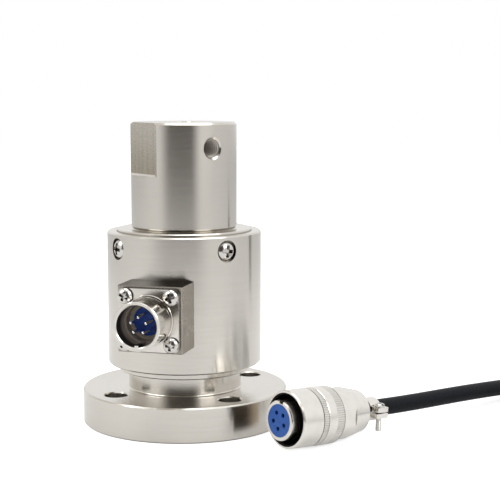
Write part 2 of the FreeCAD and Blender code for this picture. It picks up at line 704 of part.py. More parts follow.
def socket_pins():
    """Round-nosed contact pins with solder cups behind the insulator."""
    r = PIN_DIA / 2
    tip = barrel_front() - PIN_TIP_DEPTH
    back = socket_insert_back()
    cup_end = back - PIN_CUP_LENGTH
    cup_r = PIN_CUP_DIA / 2
    bore_r = PIN_CUP_BORE / 2
    wall = [(0, tip)] + fillet_points(0, tip - r, r, 90, 0)[1:]
    pin = revolve(wall + [(r, back), (cup_r, back), (cup_r, cup_end), (bore_r, cup_end),
                          (bore_r, cup_end + PIN_CUP_BORE_DEPTH),
                          (0, cup_end + PIN_CUP_BORE_DEPTH)])
    return [placed(pin, socket_place().multiply(Placement(p, Rotation())))
            for p in circle_points(PIN_COUNT, PIN_CIRCLE_DIA)]


def socket_screws():
    screw = pan_screw(SOCKET_SCREW_HEAD, SOCKET_SCREW_HEAD_HEIGHT, SOCKET_SCREW_CORE - 2 * THREAD_GAP,
                      SOCKET_SCREW_REACH)
    return [
        placed(screw, socket_place().multiply(Placement(
            p + Vector(0, 0, plate_front()),
            Rotation(Vector(0, 0, 1), i * SOCKET_SCREW_TURN_STEP))))
        for i, p in enumerate(screw_corners())
    ]


def plug_shell():
    """Inner tube with the keyway, joined by a web to the cage that the coupling sleeve rides on."""
    tube_r = PLUG_SHELL_DIA / 2
    bore_r = PLUG_INSERT_BORE / 2
    cage_r = PLUG_CAGE_DIA / 2
    cage_bore = PLUG_CAGE_BORE / 2
    neck_r = PLUG_NECK_DIA / 2
    neck_bore = neck_r - PLUG_NECK_WALL
    c = PLUG_SHELL_CHAMFER
    back = -PLUG_NECK_END
    web_back = -PLUG_CAGE_END - PLUG_WEB_PAST
    shell = revolve([
        (bore_r, PLUG_SHELL_REACH), (tube_r - c, PLUG_SHELL_REACH), (tube_r, PLUG_SHELL_REACH - c),
        (tube_r, -PLUG_CAGE_DEPTH), (cage_bore, -PLUG_CAGE_DEPTH), (cage_bore, -PLUG_CAGE_FRONT),
        (cage_r, -PLUG_CAGE_FRONT), (cage_r, -PLUG_CAGE_END), (neck_r, -PLUG_CAGE_END),
        (neck_r, back), (neck_bore, back), (neck_bore, web_back), (bore_r, web_back),
    ])
    keyway = Part.makeBox(PLUG_KEYWAY_WIDTH, PLUG_KEYWAY_DEPTH + CUT_PAST,
                          PLUG_KEYWAY_LENGTH + CUT_PAST,
                          Vector(-PLUG_KEYWAY_WIDTH / 2, -tube_r - CUT_PAST,
                                 PLUG_SHELL_REACH - PLUG_KEYWAY_LENGTH))
    keyway.rotate(Vector(0, 0, 0), Vector(0, 0, 1), PLUG_KEY_TURN)
    return placed(shell.cut(keyway), plug_place())


def plug_contact_points():
    return circle_points(PIN_COUNT, PIN_CIRCLE_DIA, 90.0 + PLUG_KEY_TURN)


def plug_insulator():
    insert = Part.makeCylinder(PLUG_INSERT_BORE / 2 - INSERT_FIT, PLUG_INSERT_LENGTH,
                               Vector(0, 0, PLUG_SHELL_REACH - PLUG_INSERT_LENGTH))
    for p in plug_contact_points():
        hole = Part.makeCylinder(
            PLUG_CONTACT_DIA / 2 + PIN_FIT, PLUG_INSERT_LENGTH + 2 * CUT_PAST,
            p + Vector(0, 0, PLUG_SHELL_REACH - PLUG_INSERT_LENGTH - CUT_PAST))
        insert = insert.cut(hole)
    return placed(insert, plug_place())


def plug_contact_back():
    return PLUG_SHELL_REACH - PLUG_CONTACT_RECESS - PLUG_CONTACT_LENGTH


def plug_contacts():
    """Socket contacts, open to the front, with closed solder ends."""
    outer = PLUG_CONTACT_DIA / 2
    bore = PLUG_CONTACT_BORE / 2
    front = PLUG_SHELL_REACH - PLUG_CONTACT_RECESS
    back = plug_contact_back()
    contact = revolve([(0, back), (outer, back), (outer, front), (bore, front),
                       (bore, back + PLUG_CONTACT_SOLID), (0, back + PLUG_CONTACT_SOLID)])
    return [placed(contact, plug_place().multiply(Placement(p, Rotation())))
            for p in plug_contact_points()]


def plug_wires():
    """The cable's cores, from the end of its jacket to the solder ends of the contacts."""
    start = plug_contact_back()
    end = -cable_start()
    step = (start - end) / 4
    wires = []
    for p in plug_contact_points():
        near = p * (CORE_RING_DIA / PIN_CIRCLE_DIA)
        wire = tube([(p.x, p.y, start), (p.x, p.y, start - step),
                     (near.x, near.y, end + step), (near.x, near.y, end)], CORE_DIA)
        wires.append(placed(wire, plug_place()))
    return wires


def knurl_cutter(diameter, low, high):
    """What a straight knurl takes off a band."""
    outer = diameter / 2
    corners = []
    for i in range(2 * KNURL_TEETH):
        a = math.pi * i / KNURL_TEETH
        r = outer - KNURL_DROP - (KNURL_DEPTH if i % 2 else 0.0)
        corners.append(Vector(r * math.cos(a), r * math.sin(a), low))
    teeth = Part.Face(Part.makePolygon(corners + [corners[0]])).extrude(Vector(0, 0, high - low))
    return Part.makeCylinder(outer + CUT_PAST, high - low, Vector(0, 0, low)).cut(teeth)


def coupling_sleeve():
    """Push-pull grip of the plug, with two knurled bands and a raised ring between them."""
    outer = COUPLING_DIA / 2
    rim = outer - COUPLING_RIM_BEVEL
    raised = COUPLING_RING_DIA / 2
    bore = PLUG_CAGE_DIA / 2 + COUPLING_FIT
    stop_bore = PLUG_NECK_DIA / 2 + COUPLING_FIT
    groove = outer - COUPLING_GROOVE_DEPTH
    groove_low = COUPLING_GROOVE_AT - COUPLING_GROOVE_WIDTH / 2
    groove_high = COUPLING_GROOVE_AT + COUPLING_GROOVE_WIDTH / 2
    c = COUPLING_CHAMFER
    sleeve = revolve([
        (bore, 0), (rim, 0), (outer - COUPLING_RIM_DRAFT, -COUPLING_RIM_LENGTH), (outer, -groove_low),
        (groove, -groove_low), (groove, -groove_high), (outer, -groove_high),
        (outer, -COUPLING_RING_START + c), (raised, -COUPLING_RING_START),
        (raised, -COUPLING_RING_END), (outer, -COUPLING_RING_END - c),
        (outer, -COUPLING_LENGTH + c), (outer - c, -COUPLING_LENGTH), (bore, -COUPLING_LENGTH),
        (bore, -COUPLING_STOP_END), (stop_bore, -COUPLING_STOP_END),
        (stop_bore, -COUPLING_STOP_START), (bore, -COUPLING_STOP_START),
    ])
    sleeve = sleeve.cut(knurl_cutter(COUPLING_DIA, -COUPLING_RING_START + c, -groove_high))
    sleeve = sleeve.cut(knurl_cutter(COUPLING_DIA, -COUPLING_LENGTH + c,
                                     -COUPLING_RING_END - c))
    return placed(sleeve, plug_place())


def coupling_spring():
    """Wire spring between the coupling sleeve's stop and the backshell."""
    low = -BACK_START + SPRING_END_GAP + SPRING_WIRE / 2
    high = -COUPLING_STOP_END - SPRING_END_GAP - SPRING_WIRE / 2
    pitch = (high - low) / SPRING_TURNS
    helix = Part.makeHelix(pitch, high - low, SPRING_DIA / 2)
    start = Vector(SPRING_DIA / 2, 0, 0)
    section = Part.Wire(Part.makeCircle(SPRING_WIRE / 2, start, Vector(0, 1, 0)))
    coil = Part.Wire(helix).makePipeShell([section], True, True)
    coil.translate(Vector(0, 0, low))
    return placed(coil, plug_place())


def clamp_outer():
    """Outer radius of the clamp and of the backshell's neck."""
    return CABLE_DIA / 2 + CABLE_FIT + CLAMP_WALL


def clamp_screw_side():
    """Distance of the clamp's screws from the plug's axis."""
    return clamp_outer() + CLAMP_SCREW_HEAD / 2


def plug_backshell():
    """Screwed-on backshell with wrench flats, a cone and the lower half of the cable clamp."""
    r = BACK_DIA / 2
    shoulder = BACK_SHOULDER_DIA / 2
    neck = clamp_outer()
    exit_r = CABLE_DIA / 2 + CABLE_FIT
    thread_r = PLUG_NECK_DIA / 2 + BACK_THREAD_FIT
    shell = revolve([
        (thread_r, -BACK_START), (r, -BACK_START), (r, -BACK_CYLINDER_END),
        (shoulder, -BACK_SHOULDER_AT), (neck, -BACK_CONE_END), (neck, -BACK_NECK_END),
        (exit_r, -BACK_NECK_END), (exit_r, -BACK_SHOULDER_AT - BACK_BORE_STEP),
        (shoulder - BACK_WALL, -BACK_SHOULDER_AT + BACK_BORE_STEP),
        (thread_r - BACK_WALL, -PLUG_NECK_END - BACK_BORE_TAPER),
        (thread_r, -PLUG_NECK_END),
    ])
    for turn in (0, 180):
        flat = Part.makeBox(r, BACK_DIA, BACK_CYLINDER_END - COUPLING_LENGTH,
                            Vector(r - BACK_FLAT_DEPTH, -r, -BACK_CYLINDER_END))
        flat.rotate(Vector(0, 0, 0), Vector(0, 0, 1), turn)
        shell = shell.cut(flat)
    shell = shell.fuse(clamp_half(-1))
    return placed(shell.removeSplitter(), plug_place())


def clamp_half(side):
    """Half of the cable clamp: side -1 is below the cable and 1 is the loose saddle above it."""
    outer = clamp_outer()
    wide = clamp_screw_side() + CLAMP_SCREW_HEAD / 2
    back = -BACK_NECK_END - CLAMP_LENGTH
    front = -BACK_NECK_END + (0.0 if side < 0 else -CLAMP_SPLIT)
    length = front - back
    saddle = Part.makeCylinder(outer, length, Vector(0, 0, back))
    ears = Part.makeBox(2 * wide, CLAMP_EAR_THICKNESS, length,
                        Vector(-wide, CLAMP_SPLIT / 2, back))
    keep = Part.makeBox(2 * wide, outer + CUT_PAST, length, Vector(-wide, CLAMP_SPLIT / 2, back))
    half = saddle.common(keep).fuse(ears)
    half = half.cut(Part.makeCylinder(CABLE_DIA / 2 + CABLE_FIT, length + 2 * CUT_PAST,
                                      Vector(0, 0, back - CUT_PAST)))
    through = CLAMP_SPLIT + CLAMP_EAR_THICKNESS + 2 * CUT_PAST
    for x in (-clamp_screw_side(), clamp_screw_side()):
        hole = Part.makeCylinder(CLAMP_SCREW_DIA / 2 + CLAMP_SCREW_FIT, through,
                                 Vector(x, -CUT_PAST, back + CLAMP_LENGTH / 2), Vector(0, 1, 0))
        half = half.cut(hole)
    if side < 0:
        half = half.mirror(Vector(0, 0, 0), Vector(0, 1, 0))
    return half.removeSplitter()


def clamp_saddle():
    return placed(clamp_half(1), plug_place())


def clamp_screws():
    """Cheese-head screws whose ends stand well through the lower ears."""
    seat = CLAMP_SPLIT / 2 + CLAMP_EAR_THICKNESS
    at = -BACK_NECK_END - CLAMP_LENGTH / 2
    r = CLAMP_SCREW_HEAD / 2
    top = CLAMP_SCREW_HEAD_HEIGHT
    c = CLAMP_SCREW_CHAMFER
    head = revolve([(0, 0), (r, 0), (r, top - c), (r - c, top), (0, top)])
    screw = head.fuse(Part.makeCylinder(CLAMP_SCREW_DIA / 2, CLAMP_SCREW_REACH,
                                        Vector(0, 0, -CLAMP_SCREW_REACH)))
    slot = Part.makeBox(2 * (r + CUT_PAST), CLAMP_SLOT_WIDTH, CLAMP_SLOT_DEPTH + CUT_PAST,
                        Vector(-r - CUT_PAST, -CLAMP_SLOT_WIDTH / 2, top - CLAMP_SLOT_DEPTH))
    screw = screw.cut(slot).removeSplitter()
    up = Rotation(Vector(1, 0, 0), -90)
    return [
        placed(screw, plug_place().multiply(Placement(Vector(x, seat, at), up)))
        for x in (-clamp_screw_side(), clamp_screw_side())
    ]


def cable_grommet():
    """Rubber ring that grips the jacket inside the backshell."""
    wide = BACK_SHOULDER_DIA - 2 * (BACK_WALL + GROMMET_FIT)
    back = -BACK_SHOULDER_AT + BACK_BORE_STEP
    grommet = ring(wide, CABLE_DIA + 2 * CABLE_FIT, back, back + GROMMET_LENGTH)
    return placed(grommet, plug_place())


def plug_point(back):
    """Point on the plug's axis at a distance behind its rim."""
    p = plug_place().multVec(Vector(0, 0, -back))
    return (p.x, p.y, p.z)


def cable_start():
    """Where the jacket ends inside the backshell, behind the plug's rim."""
    return BACK_NECK_END - CABLE_STRIP


def cable():
    return tube([plug_point(cable_start()), plug_point(CABLE_FIRST_BEND)] + CABLE_ROUTE,
                CABLE_DIA, "cable")


def cable_coil():
    """Outer shape of the wound part of the lead."""
    r = CABLE_DIA / 2
    mean = COIL_MEAN_DIA / 2
    half = COIL_TURNS_WIDE * r
    high = COIL_TURNS_HIGH * CABLE_DIA
    corners = [(mean - half, r, 180, 270), (mean + half, r, 270, 360),
               (mean + half, high - r, 0, 90), (mean - half, high - r, 90, 180)]
    profile = []
    for edge, z, start, end in corners:
        centre = edge + r if edge < mean else edge - r
        profile += fillet_points(centre, z, r, start, end, 3)
    coil = revolve(profile)
    coil.translate(COIL_CENTRE)
    return coil


def cable_tail():
    return tube(TAIL_ROUTE, CABLE_DIA, "tail")


def tail_place():
    """Local Z runs out of the tail's end, along its last run, and local Y points up."""
    last = Vector(*TAIL_ROUTE[-1])
    out = last - Vector(*TAIL_ROUTE[-2])
    out.z = 0
    out.normalize()
    up = Vector(0, 0, 1)
    return Placement(last, Rotation(up.cross(out), up, out, "ZXY"))


def core_ends():
    """Where each flying core starts in the jacket and where it ends on the floor."""
    starts = sorted(circle_points(PIN_COUNT, CORE_RING_DIA), key=lambda p: p.x)
    floor = CORE_DIA / 2 - TAIL_ROUTE[-1][2]
    return [
        (start, Vector((i - (PIN_COUNT - 1) / 2) * CORE_SPREAD, floor, CORE_LENGTH))
        for i, start in enumerate(starts)
    ]


def tail_cores():
    """Flying cores that fan out of the jacket's end and lie on the floor."""
    cores = []
    for start, end in core_ends():
        straight = CORE_LENGTH * CORE_STRAIGHT_SHARE
        settled = CORE_LENGTH * CORE_SETTLE_SHARE
        core = tube([(start.x, start.y, 0), (start.x, start.y, straight),
                     (end.x, end.y, settled), (end.x, end.y, CORE_LENGTH)], CORE_DIA)
        cores.append(placed(core, tail_place()))
    return cores


def core_tips():
    """Tinned ends of the cores."""
    return [placed(Part.makeCylinder(CORE_TIP_DIA / 2, CORE_TIP_LENGTH, end), tail_place())
            for start, end in core_ends()]


PARTS = {
    "elastic_body": elastic_body,
    "cover_sleeve": cover_sleeve,
    "cover_screws": cover_screws,
    "lower_seal_ring": lower_seal_ring,
    "strain_gauges": strain_gauges,
    "terminal_ring": terminal_ring,
    "signal_wires": signal_wires,
    "connector_block": connector_block,
    "socket_gasket": socket_gasket,
    "socket_shell": socket_shell,
    "socket_insulator": socket_insulator,
    "socket_pins": socket_pins,
    "socket_screws": socket_screws,
    "plug_shell": plug_shell,
    "plug_insulator": plug_insulator,
    "plug_contacts": plug_contacts,
    "plug_wires": plug_wires,
    "coupling_sleeve": coupling_sleeve,
    "coupling_spring": coupling_spring,
    "plug_backshell": plug_backshell,
    "clamp_saddle": clamp_saddle,
    "clamp_screws": clamp_screws,
    "cable_grommet": cable_grommet,
    "cable": cable,
    "cable_coil": cable_coil,
    "cable_tail": cable_tail,
    "tail_cores": tail_cores,
    "core_tips": core_tips,
}

os.makedirs("parts", exist_ok=True)
for name, make in PARTS.items():
    shape = make()
    if isinstance(shape, list):
        shape = Part.makeCompound(shape)
    shape.exportStep("parts/" + name + ".step")
    print(name, "solids", len(shape.Solids), "volume", round(shape.Volume, 1), shape.isValid())
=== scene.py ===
import json
import math

import bmesh
import bpy
from mathutils import Matrix, Vector


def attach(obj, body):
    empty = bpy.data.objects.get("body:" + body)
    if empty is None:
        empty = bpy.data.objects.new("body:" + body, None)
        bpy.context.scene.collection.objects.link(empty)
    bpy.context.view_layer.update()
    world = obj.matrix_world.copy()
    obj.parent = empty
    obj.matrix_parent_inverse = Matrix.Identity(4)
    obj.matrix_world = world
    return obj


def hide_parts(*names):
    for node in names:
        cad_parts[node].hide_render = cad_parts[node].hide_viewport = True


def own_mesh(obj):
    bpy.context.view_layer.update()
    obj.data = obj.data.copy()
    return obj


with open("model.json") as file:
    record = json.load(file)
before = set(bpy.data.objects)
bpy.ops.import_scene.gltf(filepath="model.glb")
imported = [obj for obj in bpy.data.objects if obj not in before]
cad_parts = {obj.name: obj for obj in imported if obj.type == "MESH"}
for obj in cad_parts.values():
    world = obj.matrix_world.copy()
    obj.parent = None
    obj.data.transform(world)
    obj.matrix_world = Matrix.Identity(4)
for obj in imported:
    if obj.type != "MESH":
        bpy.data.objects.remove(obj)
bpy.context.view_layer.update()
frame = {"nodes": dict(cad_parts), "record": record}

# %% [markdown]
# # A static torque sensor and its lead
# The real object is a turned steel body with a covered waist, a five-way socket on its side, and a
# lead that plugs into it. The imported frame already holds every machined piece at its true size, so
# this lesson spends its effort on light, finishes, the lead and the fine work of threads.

MM = 0.001

# %% [markdown]
# ## The camera
# The photograph was taken with a long lens from a little above, to the right of the socket's axis.
# A long lens keeps the flange's ellipse flat, so the distance and the focal length have to be right
# together. The camera is aimed with a rotation that looks along one direction, with no shift.

# %% Camera
CAMERA_AT = Vector((148.2, -464.9, 126.05)) * MM
CAMERA_HEADING = Vector((-0.2544, 0.9671, 0.0))
CAMERA_DIP = math.radians(7.11)
SENSOR_WIDTH = 36.0
LENS = 92.59
CLIP = (0.01, 20.0)


def placed(name, data):
    """New object that holds the data, linked to the scene."""
    made = bpy.data.objects.new(name, data)
    bpy.context.scene.collection.objects.link(made)
    return made


look = CAMERA_HEADING.normalized() * math.cos(CAMERA_DIP) + Vector((0, 0, -math.sin(CAMERA_DIP)))
camera_data = bpy.data.cameras.new("camera")
camera_data.sensor_width = SENSOR_WIDTH
camera_data.lens = LENS
camera_data.clip_start, camera_data.clip_end = CLIP
camera = placed("camera", camera_data)
camera.location = CAMERA_AT
camera.rotation_mode = "QUATERNION"
camera.rotation_quaternion = look.to_track_quat("-Z", "Y")
bpy.context.scene.camera = camera
bpy.context.scene.view_settings.view_transform = "Standard"
print("camera looks along", [round(v, 3) for v in look])

# %% [markdown]
# ## The lead's route
# A lead keeps its length, so the part that the view doesn't show is wound into a flat coil of two
# layers, as it would be for storage. One NURBS curve holds the whole lead: the points near the plug
# keep close to the solid tube, and a loop writes the coil's turns. Each turn keeps to its own lane
# for most of its way and shifts to the next lane over a short stretch, as a hand-wound coil does.

# %% Route of the lead, in millimetres
CABLE_DIA = 6.3
PLUG_RIM = Vector((48.4, -36.9, 11.34))
PLUG_AXIS = Vector((0.586625, 0.807421, -0.062791))
PLUG_SIDE = Vector((PLUG_AXIS.y, -PLUG_AXIS.x, 0.0)).normalized()
PLUG_UP = PLUG_SIDE.cross(PLUG_AXIS)
CABLE_STRAIGHT = (29.2, 55.0)
CABLE_POINTS = [(99.7, 34.4, 6.9), (112.5, 53.4, 5.7), (124.1, 69.7, 4.4), (141.2, 80.0, 3.4)]
COIL_CENTRE = Vector((172.0, 37.8, 0.0))
COIL_LANES = [46.95, 40.65, 34.35, 28.05, 28.05, 34.35, 40.65, 46.95]
COIL_LOW = 3.2
COIL_HIGH = 9.45
COIL_ENTRY = 106.1
COIL_EXIT = -30.0
POINTS_PER_TURN = 16
LANE_SHIFT_SHARE = 0.3
TAIL_POINTS = [(212.2, 13.4, 9.4), (202.9, -2.6, 7.4), (190.6, -17.0, 3.2), (176.4, -28.2, 3.2)]


def smooth_step(t):
    """Rises softly from 0 to 1 as t goes from 0 to 1."""
    t = min(max(t, 0.0), 1.0)
    return t * t * (3 - 2 * t)


def coil_point(turns):
    """Point of the coil after so many turns from its entry, wound clockwise from above."""
    lane = min(int(turns), len(COIL_LANES) - 1)
    after = min(lane + 1, len(COIL_LANES) - 1)
    shift = smooth_step((turns - lane - 1 + LANE_SHIFT_SHARE) / LANE_SHIFT_SHARE)
    radius = COIL_LANES[lane] + (COIL_LANES[after] - COIL_LANES[lane]) * shift
    heights = [COIL_LOW if i < len(COIL_LANES) / 2 else COIL_HIGH for i in (lane, after)]
    height = heights[0] + (heights[1] - heights[0]) * shift
    a = math.radians(COIL_ENTRY - 360.0 * turns)
    return COIL_CENTRE + Vector((radius * math.cos(a), radius * math.sin(a), height))


coil_turns = len(COIL_LANES) - 1 + (COIL_ENTRY - COIL_EXIT) / 360.0
steps = round(coil_turns * POINTS_PER_TURN)
route = [PLUG_RIM + PLUG_AXIS * back for back in CABLE_STRAIGHT]
route += [Vector(p) for p in CABLE_POINTS]
route += [coil_point(coil_turns * i / steps) for i in range(steps + 1)]
route += [Vector(p) for p in TAIL_POINTS]
print("lead route has", len(route), "points and", round(coil_turns, 2), "turns")

# %% The lead as one NURBS curve
CURVE_ORDER = 3
CURVE_STEPS = 6
BEVEL_STEPS = 6

lead_curve = bpy.data.curves.new("lead", "CURVE")
lead_curve.dimensions = "3D"
lead_curve.bevel_depth = CABLE_DIA / 2 * MM
lead_curve.bevel_resolution = BEVEL_STEPS
lead_curve.use_fill_caps = True
spline = lead_curve.splines.new("NURBS")
spline.points.add(len(route) - 1)
for point, place in zip(spline.points, route):
    point.co = (*(place * MM), 1.0)
spline.order_u = CURVE_ORDER
spline.use_endpoint_u = True
spline.resolution_u = CURVE_STEPS
lead = placed("lead", lead_curve)

# %% [markdown]
# ## The studio
# Polished metal shows its surroundings, so the studio matters more than the lamps. The camera sees
# plain white all round, while reflections see a room: pale walls, a faint shade to the left, and a
# wide dark stretch on the camera's side, which stands for the unlit half of a studio. The Light
# Path node tells the rays apart, so no lamp has to be raised for a white picture. All bearings are
# counted from the camera's own.


# %% Node helpers
class Nodes:
    """Short calls for building one node tree."""

    def __init__(self, tree):
        self.tree = tree
        self.tree.nodes.clear()

    def add(self, kind, settings=None, **inputs):
        """New node; an input's name has _ for each space, and its value may be a socket."""
        node = self.tree.nodes.new(kind)
        for name, value in (settings or {}).items():
            setattr(node, name, value)
        for name, value in inputs.items():
            self.put(node, name.replace("_", " "), value)
        return node

    def put(self, node, name, value):
        """Sets or links one input, named by its label or by # and its number."""
        socket = node.inputs[int(name[1:])] if name[0] == "#" else node.inputs[name]
        if isinstance(value, bpy.types.NodeSocket):
            self.tree.links.new(value, socket)
        else:
            socket.default_value = value

    def put_all(self, node, values):
        for i, value in enumerate(values):
            self.put(node, "#" + str(i), value)

    def maths(self, operation, *values):
        node = self.add("ShaderNodeMath", {"operation": operation})
        self.put_all(node, values)
        return node.outputs[0]

    def vector_maths(self, operation, a, b):
        node = self.add("ShaderNodeVectorMath", {"operation": operation})
        self.put_all(node, (a, b))
        return node.outputs["Value" if operation == "DOT_PRODUCT" else "Vector"]

    def soft_range(self, value, low, high, to_low=0.0, to_high=1.0):
        """Goes softly from to_low to to_high while the value goes from low to high."""
        node = self.add("ShaderNodeMapRange", {"interpolation_type": "SMOOTHSTEP"})
        self.put_all(node, (value, low, high, to_low, to_high))
        return node.outputs[0]

    def mix_colour(self, share, a, b):
        """The colour a, replaced by b as the share rises from 0 to 1."""
        node = self.add("ShaderNodeMix", {"data_type": "RGBA"})
        for i, value in ((0, share), (6, a), (7, b)):
            self.put(node, "#" + str(i), value)
        return node.outputs[2]

    def mix_shader(self, share, a, b):
        node = self.add("ShaderNodeMixShader")
        self.put_all(node, (share, a.outputs[0], b.outputs[0]))
        return node

    def mirrored_ray(self, path):
        """1 for rays of a reflection or a refraction, from a Light Path node."""
        return self.maths("MAXIMUM", path.outputs["Is Glossy Ray"],
                          path.outputs["Is Transmission Ray"])

    def spot(self):
        """Place of the spot being shaded, in the object's own coordinates."""
        return self.add("ShaderNodeTexCoord").outputs["Object"]

    def output(self, shader):
        self.add("ShaderNodeOutputMaterial", Surface=shader.outputs[0])


def new_finish(name):
    """New material and the nodes to build it with."""
    finish = bpy.data.materials.new(name)
    finish.use_nodes = True
    return finish, Nodes(finish.node_tree)


# %% World
WHITE = (1.0, 1.0, 1.0, 1.0)
FILL_LEVEL = 0.62
DARK_ROOM = (0.070, 0.060, 0.053, 1.0)
DARK_LEFT = (-60.0, -28.0)
DARK_RIGHT = (14.0, 40.0)
DARK_TOP = (38.0, 68.0)
LEFT_SHADE = (0.80, 0.78, 0.75, 1.0)
LEFT_SHADE_FROM = (-150.0, -125.0)
LEFT_SHADE_TO = (-96.0, -72.0)
WALL = (0.88, 0.87, 0.86, 1.0)
WALL_RISE = (3.0, 12.0)

camera_turn = math.atan2(CAMERA_AT.y, CAMERA_AT.x)
world = bpy.data.worlds.new("studio")
bpy.context.scene.world = world
world.use_nodes = True
w = Nodes(world.node_tree)
way = w.add("ShaderNodeTexCoord").outputs["Generated"]
toward = w.vector_maths("DOT_PRODUCT", way, (math.cos(camera_turn), math.sin(camera_turn), 0.0))
across = w.vector_maths("DOT_PRODUCT", way, (-math.sin(camera_turn), math.cos(camera_turn), 0.0))
bearing = w.maths("DEGREES", w.maths("ARCTAN2", across, toward))
height = w.add("ShaderNodeSeparateXYZ", Vector=way).outputs[2]
rise = w.maths("DEGREES", w.maths("ARCSINE", height))
dark = w.maths("MULTIPLY", w.soft_range(bearing, *DARK_LEFT),
               w.soft_range(bearing, *DARK_RIGHT, 1.0, 0.0))
dark = w.maths("MULTIPLY", dark, w.soft_range(rise, *DARK_TOP, 1.0, 0.0))
shade = w.maths("MULTIPLY", w.soft_range(bearing, *LEFT_SHADE_FROM),
                w.soft_range(bearing, *LEFT_SHADE_TO, 1.0, 0.0))
room = w.mix_colour(w.soft_range(rise, *WALL_RISE), WALL, WHITE)
room = w.mix_colour(shade, room, LEFT_SHADE)
room = w.mix_colour(dark, room, DARK_ROOM)
path = w.add("ShaderNodeLightPath")
for_others = w.mix_shader(w.mirrored_ray(path),
                          w.add("ShaderNodeBackground", Color=WHITE, Strength=FILL_LEVEL),
                          w.add("ShaderNodeBackground", Color=room, Strength=1.0))
for_all = w.mix_shader(path.outputs["Is Camera Ray"], for_others,
                       w.add("ShaderNodeBackground", Color=WHITE, Strength=1.0))
w.add("ShaderNodeOutputWorld", Surface=for_all.outputs[0])
print("camera stands at a turn of", round(math.degrees(camera_turn), 1), "degrees")

# %% [markdown]
# ## The floor
# The floor is a pale round sheet that ends in front of the object. Its own colour takes the
# shadows, and a glow that only the camera sees lifts it to white. Reflections get a much weaker
# glow, which falls with the distance from the sensor, on a sheet that darkens towards the camera.
# Otherwise the metal would look lit from below and its contact shadows would go.

# %% Floor
FLOOR_BACK = 2.5
FLOOR_FRONT = 0.85
FLOOR_SIDES = 96
FLOOR_GLOW = 0.74
MIRRORED_NEAR = 0.27
MIRRORED_FAR = 0.09
MIRRORED_REACH = (0.18, 0.55)
FLOOR_COLOUR = (0.60, 0.60, 0.60, 1.0)
FLOOR_AHEAD = (0.46, 0.45, 0.44, 1.0)
AHEAD_REACH = (0.30, 0.75)


def placed_form(name, form):
    """Mesh object made from a bmesh, which is freed; prints its faces and open edges."""
    mesh = bpy.data.meshes.new(name)
    form.to_mesh(mesh)
    open_edges = sum(1 for edge in form.edges if not edge.is_manifold)
    form.free()
    print(name, len(mesh.polygons), "faces,", open_edges, "open edges")
    return placed(name, mesh)


form = bmesh.new()
bmesh.ops.create_circle(form, cap_ends=True, radius=FLOOR_BACK, segments=FLOOR_SIDES)
ahead_way = Vector((CAMERA_AT.x, CAMERA_AT.y, 0.0)).normalized()
bmesh.ops.bisect_plane(form, geom=form.verts[:] + form.edges[:] + form.faces[:],
                       plane_co=ahead_way * FLOOR_FRONT, plane_no=ahead_way, clear_outer=True)
floor = placed_form("floor", form)
floor_look, f = new_finish("pale_floor")
path = f.add("ShaderNodeLightPath")
mirrored = f.mirrored_ray(path)
spot = f.spot()
away = f.maths("SQRT", f.vector_maths("DOT_PRODUCT", spot, spot))
fading = f.soft_range(away, *MIRRORED_REACH, MIRRORED_NEAR, MIRRORED_FAR)
level = f.maths("ADD", f.maths("MULTIPLY", path.outputs["Is Camera Ray"], FLOOR_GLOW),
                f.maths("MULTIPLY", mirrored, fading))
ahead = f.soft_range(f.vector_maths("DOT_PRODUCT", spot, tuple(ahead_way)), *AHEAD_REACH)
tone = f.mix_colour(f.maths("MULTIPLY", mirrored, ahead), FLOOR_COLOUR, FLOOR_AHEAD)
both = f.add("ShaderNodeAddShader")
f.put_all(both, (f.add("ShaderNodeBsdfDiffuse", Color=tone).outputs[0],
                 f.add("ShaderNodeEmission", Color=WHITE, Strength=level).outputs[0]))
f.output(both)
floor.data.materials.append(floor_look)

# %% [markdown]
# ## Dark cards
# A dark card beside bright metal draws its edges, as in a real studio, and one stands well off to
# the right of the sensor. The other card is painted shade: a low strip beside the plug, where the
# flange's side mirrors it, which stands for the deep shade between the plug and the flange and
# fades from black to brown along its length. Only reflections see the two.

# %% Cards that only reflections see
CARD_BLACK = (0.026, 0.018, 0.011, 1.0)
CARD_BROWN = (0.47, 0.38, 0.29, 1.0)
CARD_FADE_FROM = 0.3
STAND_AT = 112.0
STAND_AWAY = 0.40
STAND_WIDE = 0.042
STAND_TALL = 0.043
SHADE_ASIDE = 11.3
SHADE_FROM = -1.5
SHADE_TO = 21.0
SHADE_FOOT = 0.2
SHADE_TALL = 9.0


def dark_card(name, left, right, tall, far_colour=CARD_BLACK):
    """Upright card between two floor points, black at its left, seen by reflections alone."""
    form = bmesh.new()
    up = Vector((0.0, 0.0, tall))
    form.faces.new([form.verts.new(p) for p in (left, right, right + up, left + up)])
    card = placed_form(name, form)
    card.visible_camera = False
    card.visible_diffuse = False
    card.visible_shadow = False
    card_look, n = new_finish(name + "_look")
    span = right - left
    along = n.vector_maths("DOT_PRODUCT", n.vector_maths("SUBTRACT", n.spot(), tuple(left)),
                           tuple(span.normalized()))
    fade = n.soft_range(along, CARD_FADE_FROM * span.length, span.length)
    shade = n.mix_colour(fade, CARD_BLACK, far_colour)
    n.output(n.add("ShaderNodeEmission", Color=shade, Strength=1.0))
    card.data.materials.append(card_look)


stand_turn = camera_turn + math.radians(STAND_AT)
stand_place = Vector((math.cos(stand_turn), math.sin(stand_turn), 0.0)) * STAND_AWAY
stand_side = Vector((-math.sin(stand_turn), math.cos(stand_turn), 0.0)) * (STAND_WIDE / 2)
dark_card("side_stand", stand_place - stand_side, stand_place + stand_side, STAND_TALL)
# Painted shade: the plug_shade card stands for the deep shade between the plug and the flange.
shade_ends = [PLUG_RIM + PLUG_AXIS * back - PLUG_SIDE * SHADE_ASIDE
              for back in (SHADE_FROM, SHADE_TO)]
for point in shade_ends:
    point.z = SHADE_FOOT
dark_card("plug_shade", shade_ends[0] * MM, shade_ends[1] * MM, SHADE_TALL * MM, CARD_BROWN)

